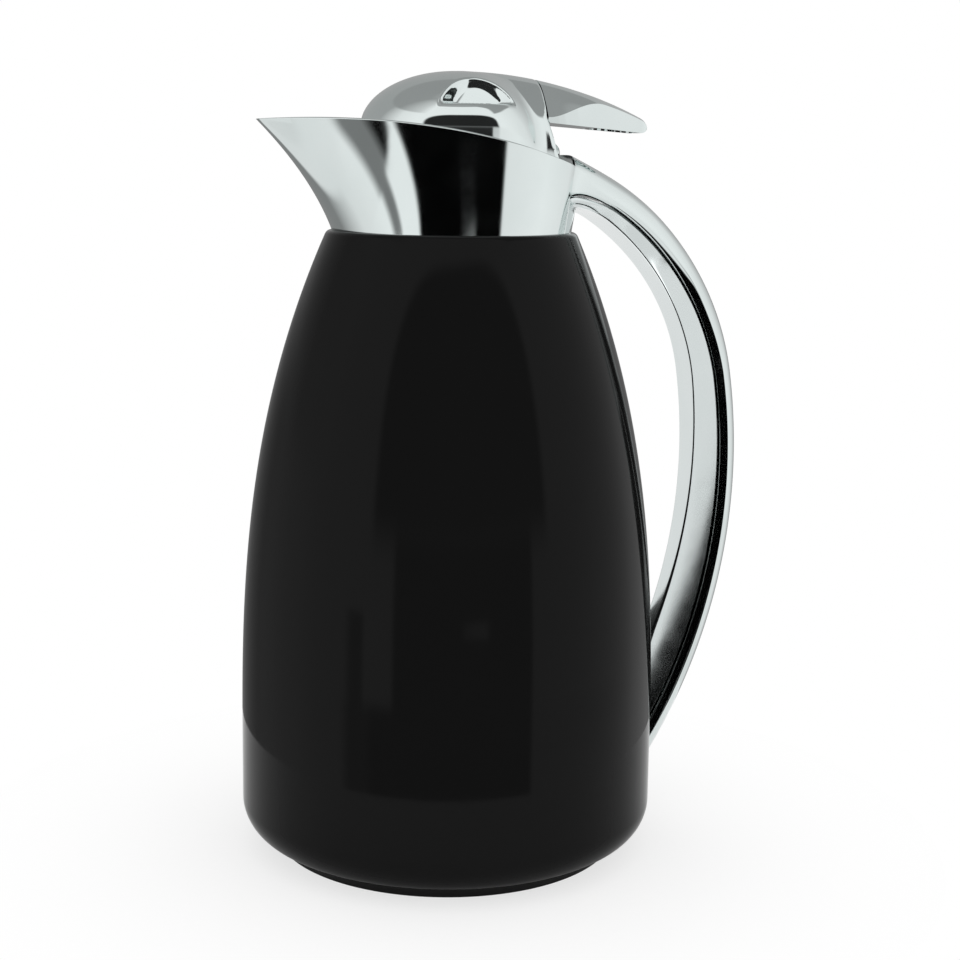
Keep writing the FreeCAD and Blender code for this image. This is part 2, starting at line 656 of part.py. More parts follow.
def pour_funnel():
    """Funnel floor in the collar, with a raised ring round the pouring seat and the hinge ears."""
    low = COLLAR_FLOOR_Z
    top = low + FUNNEL_FLOOR
    rim = COLLAR_RADIUS - COLLAR_WALL - 2 * SEAT_CLEARANCE
    hole = SEAT_RADIUS + SEAT_CLEARANCE
    body = turned((hole, low), (rim, low), (rim, top), (hole + SEAT_BEVEL, top), (hole, top + SEAT_BEVEL))
    body = body.fuse(ear(-1)).fuse(ear(1))
    body = body.common(collar_form(COLLAR_WALL + SEAT_CLEARANCE, LIP_REAR_X - SEAT_CLEARANCE))
    body = body.cut(rod(PIN_RADIUS, (HINGE_X, -REACH / 2, HINGE_Z), (HINGE_X, REACH / 2, HINGE_Z)))
    first, radius = funnel_screw_places()
    bore = rod(FUNNEL_SCREW_RADIUS, (radius, 0, low - OVERCUT), (radius, 0, top + OVERCUT))
    return body.cut(Part.makeCompound(around(bore, FUNNEL_SCREW_COUNT, first))).removeSplitter()


def funnel_screws():
    """Small screws that hold the funnel to the collar's floor."""
    first, radius = funnel_screw_places()
    top = COLLAR_FLOOR_Z + FUNNEL_FLOOR
    shank = rod(FUNNEL_SCREW_RADIUS, (radius, 0, COLLAR_FLOOR_Z), (radius, 0, top))
    head = rod(FUNNEL_SCREW_HEAD_RADIUS, (radius, 0, top), (radius, 0, top + FUNNEL_SCREW_HEAD))
    screw = shank.fuse(head).removeSplitter()
    return Part.makeCompound(around(screw, FUNNEL_SCREW_COUNT, first))


def hinge_pin():
    """Pin through the two ears and the lid's knuckle."""
    end = KNUCKLE_WIDTH / 2 + MOVING_CLEARANCE + EAR_WIDTH
    return rod(PIN_RADIUS, (HINGE_X, -end, HINGE_Z), (HINGE_X, end, HINGE_Z))


def spring_half_length():
    """Half the coiled length of the hinge spring."""
    return SPRING_PITCH * (SPRING_TURNS + 0.25) / 2


def hinge_spring():
    """Torsion spring round the pin: a helix of quarter-turn arcs between two straight legs."""
    radius = PIN_RADIUS + SPRING_CLEARANCE + SPRING_WIRE_RADIUS
    half = spring_half_length()

    def place(turn):
        angle = math.pi / 2 - 2 * math.pi * turn
        x = HINGE_X + radius * math.cos(angle)
        return Vector(x, SPRING_PITCH * turn - half, HINGE_Z + radius * math.sin(angle))

    start = place(0.0) - Vector(SPRING_LEG, 0, 0)
    edges = [Part.LineSegment(start, place(0.0)).toShape()]
    for quarter in range(4 * SPRING_TURNS + 1):
        turn = quarter / 4
        edges.append(Part.Arc(place(turn), place(turn + 0.125), place(turn + 0.25)).toShape())
    last = place(SPRING_TURNS + 0.25)
    edges.append(Part.LineSegment(last, last - Vector(0, 0, SPRING_LEG)).toShape())
    section = Part.Wire([Part.Circle(start, Vector(1, 0, 0), SPRING_WIRE_RADIUS).toShape()])
    print("hinge_spring least gap between turns", round(SPRING_PITCH - 2 * SPRING_WIRE_RADIUS, 2))
    return Part.Wire(edges).makePipeShell([section], True, False)


def dome_form(inset):
    """Round lid form: an elliptical crown over a short straight skirt."""
    wide = LID_RADIUS - inset
    high = LID_CROWN - inset
    angles = [math.radians(angle) for angle in (15, 30, 45, 60, 75, 90)]
    crown = [(wide * math.cos(angle), DOME_SPRING_Z + high * math.sin(angle)) for angle in angles]
    form = turned((0, DOME_BOTTOM_Z), (wide, DOME_BOTTOM_Z), (wide, DOME_SPRING_Z), ("curve", crown))
    form.translate(Vector(LID_X, 0, 0))
    return form


def spine_z(x):
    """Height of the ridge that runs from the lid's crown to the lever's tip."""
    return LID_TOP_Z - SPINE_BOW_RADIUS + math.sqrt(SPINE_BOW_RADIUS ** 2 - (x - SPINE_PEAK_X) ** 2)


def ridge_section(x, half, top, shoulder, low):
    """Closed section across the lid's ridge or lever: straight sides and a crowned top."""
    left_low, right_low = Vector(x, -half, low), Vector(x, half, low)
    left, right = Vector(x, -half, top - shoulder), Vector(x, half, top - shoulder)
    return Part.Wire([
        Part.LineSegment(left_low, left).toShape(),
        Part.Arc(left, Vector(x, 0, top), right).toShape(),
        Part.LineSegment(right, right_low).toShape(),
        Part.LineSegment(right_low, left_low).toShape()])


def spine_form(inset):
    """Ridge on the lid from its crown to the seam with the lever."""
    wires = []
    front = LID_X - LID_RADIUS / 4
    half = SPINE_HALF_WIDTH - inset
    for share in (0.0, 0.35, 0.7, 1.0):
        x = front + (SPINE_REAR_X - front) * share
        wires.append(ridge_section(x, half, spine_z(x) - inset, SPINE_SHOULDER, DOME_SPRING_Z))
    return loft(wires)


def scoops(grow):
    """Almond hollow in each side of the lid, an ellipsoid's bite."""
    ball = Part.makeSphere(1.0)
    size = FreeCAD.Matrix()
    size.A11 = SCOOP_HALF_LENGTH + grow
    size.A22 = 2 * SCOOP_BITE + grow
    size.A33 = SCOOP_HALF_HEIGHT + grow
    ball = ball.transformGeometry(size)
    reach = SPINE_HALF_WIDTH + 2 * SCOOP_BITE - SCOOP_OVERLAP
    bites = []
    for side in (-reach, reach):
        bite = ball.copy()
        bite.translate(Vector(SCOOP_X, side, LID_TOP_Z - SCOOP_DROP))
        bites.append(bite)
    return Part.makeCompound(bites)


def hinge_room(clearance):
    """Space that the ears sweep past, kept free in every lid piece."""
    near = KNUCKLE_WIDTH / 2 - clearance / 4
    far = KNUCKLE_WIDTH / 2 + 2 * MOVING_CLEARANCE + EAR_WIDTH + clearance
    radius = EAR_RADIUS + clearance
    rooms = []
    for low in (near, -far):
        barrel = rod(radius, (HINGE_X, low, HINGE_Z), (HINGE_X, low + far - near, HINGE_Z))
        corner = Vector(HINGE_X - radius, low, HINGE_Z - REACH / 4)
        well = Part.makeBox(3 * radius, far - near, REACH / 4, corner)
        rooms.append(barrel.fuse(well))
    return Part.makeCompound(rooms)


def knuckle_room():
    """Space round the lid's own knuckle that the dome leaves free."""
    half = KNUCKLE_WIDTH / 2 + MOVING_CLEARANCE
    return rod(KNUCKLE_RADIUS + SEAT_CLEARANCE, (HINGE_X, -half, HINGE_Z), (HINGE_X, half, HINGE_Z))


def lid_dome():
    """Chromed lid cover: round dome, ridge and an almond finger hollow in each side."""
    outside = dome_form(0.0).fuse(spine_form(0.0)).cut(scoops(0.0))
    inside = dome_form(DOME_WALL).fuse(spine_form(DOME_WALL)).cut(scoops(DOME_WALL))
    skirt = disc(LID_RADIUS - DOME_WALL, DOME_BOTTOM_Z, DOME_SPRING_Z)
    skirt.translate(Vector(LID_X, 0, 0))
    slot = block(LID_X, LID_X + LID_RADIUS + OVERCUT, TONGUE_HALF_WIDTH + SEAT_CLEARANCE,
                 tongue_z() - SEAT_CLEARANCE, tongue_z() + TONGUE_THICKNESS + SEAT_CLEARANCE)
    shell = outside.cut(inside).cut(skirt).cut(slot)
    return shell.cut(hinge_room(MOVING_CLEARANCE)).cut(knuckle_room()).removeSplitter()


def tongue_z():
    """Underside of the lever's tongue."""
    return JACKET_TOP_Z + TONGUE_RISE


def lever_form(inset, drop, first_x, last_x):
    """Thumb lever form from its root to its tip, drawn in by an inset and let down by a drop below."""
    wires = []
    root_low = spine_z(SPINE_REAR_X) - LEVER_ROOT_DEPTH
    tip_low = spine_z(LEVER_TIP_X) - LEVER_TIP_DEPTH
    for share in (0.0, 0.3, 0.6, 0.85, 1.0):
        x = first_x + (last_x - first_x) * share
        run = (x - SPINE_REAR_X) / (LEVER_TIP_X - SPINE_REAR_X)
        half = SPINE_HALF_WIDTH + (LEVER_TIP_HALF_WIDTH - SPINE_HALF_WIDTH) * run ** 2
        low = root_low + (tip_low - root_low) * run
        shoulder = SPINE_SHOULDER - inset / 2
        wires.append(ridge_section(x, half - inset, spine_z(x) - inset, shoulder, low - drop))
    return loft(wires)


def thumb_lever():
    """Chromed thumb lever, hollow below, with a tongue that is screwed under the dome."""
    root = SPINE_REAR_X + LEVER_GAP
    form = lever_form(0.0, 0.0, root, LEVER_TIP_X)
    tip_round = Part.makeCylinder(LEVER_TIP_RADIUS, REACH, Vector(LEVER_TIP_X - LEVER_TIP_RADIUS, 0, 0))
    root_block = block(root, LEVER_TIP_X - LEVER_TIP_HALF_WIDTH, REACH / 2, 0, REACH)
    form = form.common(tip_round.fuse(root_block))
    hollow = lever_form(LEVER_WALL, OVERCUT, root + 3 * LEVER_WALL, LEVER_TIP_X - 2 * LEVER_WALL)
    hollow = hollow.common(block(root, LEVER_TIP_X, REACH / 4, 0, spine_z(root) - LEVER_WALL))
    form = form.cut(hollow)
    swell = dome_form(-LEVER_GAP)
    tongue = block(root - TONGUE_LENGTH, root + 2 * LEVER_WALL, TONGUE_HALF_WIDTH, tongue_z(),
                   tongue_z() + TONGUE_THICKNESS)
    lever = form.cut(swell).fuse(tongue)
    for x in lever_screw_places():
        lever = lever.cut(rod(LEVER_SCREW_RADIUS, (x, 0, 0), (x, 0, REACH)))
    return lever.removeSplitter()


def lever_screw_places():
    """Places along the tongue of the two lever screws."""
    middle = SPINE_REAR_X + LEVER_GAP - TONGUE_LENGTH / 2
    return middle - LEVER_SCREW_PITCH / 2, middle + LEVER_SCREW_PITCH / 2


def lid_boss():
    """Boss that carries the lever's tongue above the lid's floor."""
    front, rear = lever_screw_places()
    top = tongue_z() - SEAT_CLEARANCE
    return block(front - BOSS_MARGIN, rear + BOSS_MARGIN, BOSS_HALF_WIDTH, LID_FLOOR_Z, top)


def spring_slot():
    """Slot between the knuckle's halves for the hinge spring and its leg."""
    half = spring_half_length() + SPRING_WIRE_RADIUS + SPRING_CLEARANCE
    return block(HINGE_X - SPRING_LEG - SPRING_CLEARANCE, HINGE_X + 2 * KNUCKLE_RADIUS, half,
                 HINGE_Z - KNUCKLE_RADIUS - SPRING_CLEARANCE, HINGE_Z + 2 * KNUCKLE_RADIUS)


def lid_base():
    """Lid body: a cup under the dome with the stopper boss below and the hinge knuckle at the rear."""
    top = DOME_BOTTOM_Z - SEAT_CLEARANCE
    seal_top = LID_SEAL_Z + LID_SEAL_HEIGHT
    cup = disc(LID_CUP_RADIUS, LID_FLOOR_Z, top)
    cup = cup.cut(disc(LID_CUP_RADIUS - LID_CUP_WALL, LID_FLOOR_Z + LID_FLOOR, top))
    cup.translate(Vector(LID_X, 0, 0))
    stopper = disc(STOPPER_RADIUS, seal_top, LID_FLOOR_Z + LID_FLOOR / 2)
    plug = disc(PLUG_RADIUS, SEAT_Z - PLUG_DEPTH, seal_top)
    half = KNUCKLE_WIDTH / 2
    knuckle = rod(KNUCKLE_RADIUS, (HINGE_X, -half, HINGE_Z), (HINGE_X, half, HINGE_Z))
    arm = block(LID_X + LID_CUP_RADIUS - 2 * LID_CUP_WALL, HINGE_X, half, HINGE_Z - KNUCKLE_RADIUS,
                HINGE_Z + KNUCKLE_RADIUS)
    body = cup.fuse([stopper, plug, arm, knuckle, lid_boss()])
    body = body.cut(hinge_room(MOVING_CLEARANCE)).cut(spring_slot())
    body = body.cut(rod(PIN_RADIUS + PIN_CLEARANCE, (HINGE_X, -half, HINGE_Z), (HINGE_X, half, HINGE_Z)))
    for x in lever_screw_places():
        body = body.cut(rod(LEVER_SCREW_RADIUS, (x, 0, tongue_z() - LEVER_SCREW_DEPTH), (x, 0, tongue_z())))
    return body.removeSplitter()


def lid_seal():
    """Silicone ring on the stopper that closes on the pouring seat."""
    return ring(PLUG_RADIUS + SEAT_CLEARANCE, STOPPER_RADIUS, LID_SEAL_Z, LID_SEAL_Z + LID_SEAL_HEIGHT)


def lid_insulation():
    """Foam disc in the lid's cup."""
    low = LID_FLOOR_Z + LID_FLOOR
    foam = disc(LID_CUP_RADIUS - LID_CUP_WALL - SEAT_CLEARANCE, low, low + INSULATION_HEIGHT)
    foam.translate(Vector(LID_X, 0, 0))
    boss_front = lever_screw_places()[0] - BOSS_MARGIN
    room = block(boss_front - SEAT_CLEARANCE, REACH, BOSS_HALF_WIDTH + SEAT_CLEARANCE, 0, REACH)
    hinge_front = min(LID_X + LID_CUP_RADIUS - 2 * LID_CUP_WALL, HINGE_X - EAR_RADIUS) - 2 * MOVING_CLEARANCE
    return foam.cut(room).cut(block(hinge_front, REACH, LID_RADIUS, 0, REACH))


def lever_screws():
    """Two screws through the lever's tongue into the lid's boss."""
    top = tongue_z() + TONGUE_THICKNESS
    screws = []
    for x in lever_screw_places():
        shank = rod(LEVER_SCREW_RADIUS, (x, 0, tongue_z() - LEVER_SCREW_DEPTH), (x, 0, top))
        head = rod(LEVER_SCREW_HEAD_RADIUS, (x, 0, top), (x, 0, top + LEVER_SCREW_HEAD))
        screws.append(shank.fuse(head).removeSplitter())
    return Part.makeCompound(screws)


NODES = {
    "body_casing": body_casing,
    "base_ring": base_ring,
    "base_cap": base_cap,
    "flask_cushion": flask_cushion,
    "outer_flask": outer_flask,
    "inner_flask": inner_flask,
    "flask_spacers": flask_spacers,
    "neck_seal": neck_seal,
    "collar_nut": collar_nut,
    "collar_handle_shell": collar_handle_shell,
    "handle_insert": handle_insert,
    "handle_screw": handle_screw,
    "handle_washer": handle_washer,
    "strip_screw": strip_screw,
    "pour_seat": pour_seat,
    "pour_funnel": pour_funnel,
    "funnel_screws": funnel_screws,
    "hinge_pin": hinge_pin,
    "hinge_spring": hinge_spring,
    "lid_base": lid_base,
    "lid_seal": lid_seal,
    "lid_insulation": lid_insulation,
    "lid_dome": lid_dome,
    "thumb_lever": thumb_lever,
    "lever_screws": lever_screws,
}


def main():
    """Build every node and write its STEP file."""
    os.makedirs("parts", exist_ok=True)
    for name, make in NODES.items():
        shape = make()
        shape.exportStep(os.path.join("parts", name + ".step"))
        print(name, "solids", len(shape.Solids), "valid", shape.isValid(), "volume", round(shape.Volume, 1))


if __name__ == "__main__":
    main()
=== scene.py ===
"""Thermal jug: lacquered jacket, chromed collar with spout and bow handle, and a domed lever lid.

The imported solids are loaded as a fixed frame. The visible pieces are drawn again as smooth numpy surfaces in the
same place, and the pieces inside keep their solids. Sizes in this file are in millimetres unless a name says
otherwise, and points become metres only when a mesh is made.
"""
from __future__ import annotations

import json
import logging
from collections.abc import Callable
from dataclasses import dataclass
from enum import Enum

import bmesh
import bpy
import numpy as np
from bpy.types import ColorRampElements, Material, Mesh, Node, NodeSocket, NodeTree, Object
from mathutils import Matrix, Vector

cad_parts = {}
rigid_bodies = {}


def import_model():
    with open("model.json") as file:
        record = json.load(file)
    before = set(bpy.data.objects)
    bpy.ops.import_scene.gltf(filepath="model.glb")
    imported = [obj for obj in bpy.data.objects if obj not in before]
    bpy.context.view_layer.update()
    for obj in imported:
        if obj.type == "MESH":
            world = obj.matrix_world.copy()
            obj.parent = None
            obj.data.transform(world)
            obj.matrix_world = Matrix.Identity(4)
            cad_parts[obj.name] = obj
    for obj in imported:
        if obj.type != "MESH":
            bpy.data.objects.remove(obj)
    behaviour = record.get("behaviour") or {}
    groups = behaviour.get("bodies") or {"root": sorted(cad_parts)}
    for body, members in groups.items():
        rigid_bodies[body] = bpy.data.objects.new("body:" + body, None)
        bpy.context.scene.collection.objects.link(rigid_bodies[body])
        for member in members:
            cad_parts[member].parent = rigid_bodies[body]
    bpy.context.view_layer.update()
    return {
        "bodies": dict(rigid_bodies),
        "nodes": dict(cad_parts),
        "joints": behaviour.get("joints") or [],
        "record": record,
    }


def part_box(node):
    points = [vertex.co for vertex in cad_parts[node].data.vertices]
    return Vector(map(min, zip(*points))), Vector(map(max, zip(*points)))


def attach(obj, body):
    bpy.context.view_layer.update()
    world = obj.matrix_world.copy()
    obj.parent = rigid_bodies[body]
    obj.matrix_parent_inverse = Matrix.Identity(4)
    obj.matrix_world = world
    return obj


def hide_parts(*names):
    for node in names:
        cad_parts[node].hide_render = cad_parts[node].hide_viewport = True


Pair = tuple[float, float]
Triple = tuple[float, float, float]
Four = tuple[float, float, float, float]

LOG = logging.getLogger("thermal_jug")
MM = 0.001
# Points of a skin that lie closer together than this become one.
MERGE = 0.002
CREASE_ANGLE = np.radians(38.0)
BISECT_STEPS = 40
# Values between which most of a noise pattern lies.
NOISE_LOW, NOISE_HIGH = 0.3, 0.7
# Place of the hinge pin: distance behind the middle, and height.
HINGE = (30.3, 234.0)
# Factors that mirror a point in the plane through the spout and the handle, and that lay it on that plane.
MIRROR = np.array([1.0, -1.0, 1.0])
ON_PLANE = np.array([1.0, 0.0, 1.0])


class Body(Enum):
    """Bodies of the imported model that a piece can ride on."""

    JUG = "jug"
    LID = "lid"


def linear(hex_colour: str) -> Four:
    """Turn an sRGB hex colour into linear values with alpha.

    Args:
        hex_colour: six hex digits with a leading mark.

    Returns:
        Red, green, blue and alpha in linear light.
    """
    value = np.array([int(hex_colour[i:i + 2], 16) for i in (1, 3, 5)]) / 255.0
    flat = np.where(value <= 0.04045, value / 12.92, ((value + 0.055) / 1.055) ** 2.4)
    return (float(flat[0]), float(flat[1]), float(flat[2]), 1.0)


def add_node(tree: NodeTree, kind: str, settings: dict, links: dict) -> Node:
    """Add one node with its settings and the links into it.

    Args:
        tree: node tree that gets the node.
        kind: Blender's name of the node type.
        settings: attribute names, or socket names and numbers, with their values.
        links: input socket names or numbers with the output sockets that feed them.

    Returns:
        The new node.
    """
    node = tree.nodes.new(kind)
    for key, value in settings.items():
        if isinstance(key, str) and hasattr(node, key):
            setattr(node, key, value)
        else:
            node.inputs[key].default_value = value
    for key, source in links.items():
        tree.links.new(source, node.inputs[key])
    return node


def maths(tree: NodeTree, operation: str, *terms: NodeSocket | float) -> NodeSocket:
    """Add one maths node over sockets and numbers.

    Args:
        tree: node tree that gets the node.
        operation: Blender's name of the operation.
        terms: its terms in order.

    Returns:
        The socket with the result.
    """
    links = {i: term for i, term in enumerate(terms) if isinstance(term, NodeSocket)}
    values = {i: float(term) for i, term in enumerate(terms) if i not in links}
    return add_node(tree, "ShaderNodeMath", {"operation": operation, **values}, links).outputs[0]


def eased(tree: NodeTree, source: NodeSocket, low: float, high: float,
          start: float = 0.0) -> NodeSocket:
    """Add a node that eases from a start to 1 as a value goes from one limit to the other.

    Args:
        tree: node tree that gets the node.
        source: socket with the value.
        low: limit with the start.
        high: limit with 1.
        start: result at the first limit.

    Returns:
        The socket with the result.
    """
    return add_node(tree, "ShaderNodeMapRange", {"interpolation_type": "SMOOTHSTEP", "From Min": low,
                                                 "From Max": high, "To Min": start},
                    {"Value": source}).outputs["Result"]


def blend(tree: NodeTree, share: NodeSocket, *colours: NodeSocket | tuple) -> NodeSocket:
    """Add a node that goes from one colour to another.

    Args:
        tree: node tree that gets the node.
        share: socket that is 0 at the first colour and 1 at the second.
        colours: the two colours, each a socket or a value.

    Returns:
        The socket with the colour.
    """
    links = {i: colour for i, colour in enumerate(colours, 6) if isinstance(colour, NodeSocket)}
    values = {i: colour for i, colour in enumerate(colours, 6) if i not in links}
    return add_node(tree, "ShaderNodeMix", {"data_type": "RGBA", **values}, {0: share, **links}).outputs[2]


def grey(value: float) -> Four:
    """A grey with full alpha."""
    return (value, value, value, 1.0)


def smooth_step(value: np.ndarray) -> np.ndarray:
    """Ease from 0 to 1 with level ends: three squares less two cubes of the clipped value."""
    share = np.clip(value, 0.0, 1.0)
    return share * share * (3.0 - 2.0 * share)


def place(x: np.ndarray, y: np.ndarray, z: np.ndarray) -> np.ndarray:
    """Stack three coordinate arrays of shapes that fit together into one array of points."""
    return np.stack(np.broadcast_arrays(x, y, z), axis=-1).astype(float)


def hermite(first: np.ndarray, leave: np.ndarray, last: np.ndarray, arrive: np.ndarray, count: int) -> np.ndarray:
    """Carry one line of points to another along cubic Hermite curves.

    Each point leaves along its leaving vector and arrives along its arriving vector: the four usual cubic weights
    times the two points and the two vectors.

    Args:
        first: points of the first line, (n, 3).
        leave: vectors at the first line.
        last: points of the last line.
        arrive: vectors at the last line.
        count: lines to make, with both ends.

    Returns:
        Points as (count, n, 3).
    """
    s = np.linspace(0.0, 1.0, count)[:, None, None]
    return ((2 * s ** 3 - 3 * s ** 2 + 1) * first + (s ** 3 - 2 * s ** 2 + s) * leave
            + (3 * s ** 2 - 2 * s ** 3) * last + (s ** 3 - s ** 2) * arrive)


def lathe(profile: np.ndarray, segments: int) -> np.ndarray:
    """Turn a profile of (radius, height) points about the Z axis.

    Args:
        profile: points as (n, 2), counter-clockwise with the radius to the right.
        segments: steps round the turn.

    Returns:
        Points as (n, segments, 3), for a grid that wraps.
    """
    angle = np.linspace(0.0, 2 * np.pi, segments, endpoint=False)
    radius = profile[:, :1]
    return place(radius * np.cos(angle), radius * np.sin(angle), profile[:, 1:])


def arc(centre: Pair, radius: float, first: float, last: float, count: int) -> np.ndarray:
    """Points of a flat arc from one angle in degrees to another."""
    angle = np.radians(np.linspace(first, last, count))
    return np.stack([centre[0] + radius * np.cos(angle), centre[1] + radius * np.sin(angle)], axis=1)


def superellipse(turn: np.ndarray, power: float) -> tuple[np.ndarray, np.ndarray]:
    """Quarter of a superellipse of unit size: across and up, whose powers add up to one at every turn."""
    reach = (np.cos(turn) ** power + np.sin(turn) ** power) ** (-1 / power)
    return reach * np.cos(turn), reach * np.sin(turn)


def bisect(outside: np.ndarray, inside: np.ndarray, gap: Callable[[np.ndarray], np.ndarray]) -> np.ndarray:
    """Find where a signed gap changes sign, for many values at once.

    Args:
        outside: values where the gap is positive.
        inside: values where the gap is negative.
        gap: function of an array of values.

    Returns:
        The values where the gap is nearly nought.
    """
    for _ in range(BISECT_STEPS):
        middle = (outside + inside) / 2
        out = gap(middle) > 0
        outside = np.where(out, middle, outside)
        inside = np.where(out, inside, middle)
    return outside


class Skin:
    """Grids of points gathered into the mesh of one piece."""

    def __init__(self) -> None:
        """Start with no grid."""
        self.points: list[np.ndarray] = []
        self.quads: list[np.ndarray] = []
        self.count = 0

    def add(self, grid: np.ndarray, flip: bool = False, wrap: bool = False) -> None:
        """Add one grid as quads.

        Args:
            grid: points as (rows, columns, 3); with columns to the right and rows upwards it faces the viewer.
            flip: True turns the faces round.
            wrap: True joins the last column to the first.
        """
        rows, columns = grid.shape[:2]
        index = np.arange(rows * columns).reshape(rows, columns) + self.count
        left = index if wrap else index[:, :-1]
        right = np.roll(index, -1, axis=1) if wrap else index[:, 1:]
        quads = np.stack([left[:-1], right[:-1], right[1:], left[1:]], axis=-1).reshape(-1, 4)
        self.points.append(grid.reshape(-1, 3))
        self.quads.append(quads[:, ::-1] if flip else quads)
        self.count += rows * columns

    def add_pair(self, grid: np.ndarray, flip: bool = False) -> None:
        """Add a grid and its mirror image in the plane through the spout and the handle."""
        self.add(grid, flip)
        self.add(grid * MIRROR, not flip)

    def mesh(self, name: str) -> Mesh:
        """Make a mesh in metres of the grids as they are."""
        mesh = bpy.data.meshes.new(name)
        mesh.from_pydata((np.concatenate(self.points) * MM).tolist(), [], np.concatenate(self.quads).tolist())
        return mesh

    def piece(self, name: str, body: Body, nodes: tuple[str, ...], finish: "Finish") -> Object:
        """Make the piece: merge the grids' shared edges, smooth it, dress it and let it ride.

        Args:
            name: the piece's name.
            body: body that it rides on.
            nodes: solids that it stands for.
            finish: its finish.

        Returns:
            The new object.
        """
        mesh = self.mesh(name)
        work = bmesh.new()
        work.from_mesh(mesh)
        bmesh.ops.remove_doubles(work, verts=work.verts, dist=MERGE * MM)
        work.to_mesh(mesh)
        work.free()
        mesh.polygons.foreach_set("use_smooth", np.ones(len(mesh.polygons), dtype=bool))
        mesh.set_sharp_from_angle(angle=CREASE_ANGLE)
        mesh.materials.append(finish.material())
        piece = bpy.data.objects.new(name, mesh)
        bpy.context.collection.objects.link(piece)
        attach(piece, body.value)
        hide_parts(*nodes)
        LOG.info("%s: %d faces", name, len(mesh.polygons))
        return piece


@dataclass(frozen=True)
class Finish:
    """One real material and how its surface was made, as a procedural Principled shader.

    A noise pattern of a real size moves the colour between two near shades and the roughness between two values,
    and a second pattern raises the surface by a few thousandths of a millimetre.
    """

    slot: str
    name: str
    deep: str
    pale: str
    metallic: float
    roughness: Pair
    cloud_mm: float
    grain_mm: float
    relief_mm: float
    stretch: Triple = (1.0, 1.0, 1.0)
    specular: float = 0.5
    transmission: float = 0.0
    sheen: float = 0.0

    def material(self) -> Material:
        """Return the finish's material, made on its first use."""
        if self.name in bpy.data.materials:
            return bpy.data.materials[self.name]
        material = bpy.data.materials.new(self.name)
        material.use_nodes = True
        tree = material.node_tree
        tree.nodes.clear()
        spot = add_node(tree, "ShaderNodeTexCoord", {}, {})
        turn = add_node(tree, "ShaderNodeMapping", {"Scale": self.stretch}, {"Vector": spot.outputs["Object"]})
        cloud = add_node(tree, "ShaderNodeTexNoise", {"Scale": 1.0 / (self.cloud_mm * MM), "Detail": 3.0},
                         {"Vector": turn.outputs["Vector"]})
        grain = add_node(tree, "ShaderNodeTexNoise", {"Scale": 1.0 / (self.grain_mm * MM), "Detail": 2.0},
                         {"Vector": turn.outputs["Vector"]})
        shade = blend(tree, cloud.outputs["Fac"], linear(self.deep), linear(self.pale))
        rough = add_node(tree, "ShaderNodeMapRange", {"From Min": NOISE_LOW, "From Max": NOISE_HIGH,
                                                      "To Min": self.roughness[0], "To Max": self.roughness[1]},
                         {"Value": grain.outputs["Fac"]})
        bump = add_node(tree, "ShaderNodeBump", {"Strength": 1.0, "Distance": self.relief_mm * MM},
                        {"Height": grain.outputs["Fac"]})
        shader = add_node(tree, "ShaderNodeBsdfPrincipled",
                          {"Metallic": self.metallic, "Specular IOR Level": self.specular,
                           "Transmission Weight": self.transmission, "Sheen Weight": self.sheen},
                          {"Base Color": shade, "Roughness": rough.outputs["Result"],
                           "Normal": bump.outputs["Normal"]})
        add_node(tree, "ShaderNodeOutputMaterial", {}, {"Surface": shader.outputs["BSDF"]})
        return material


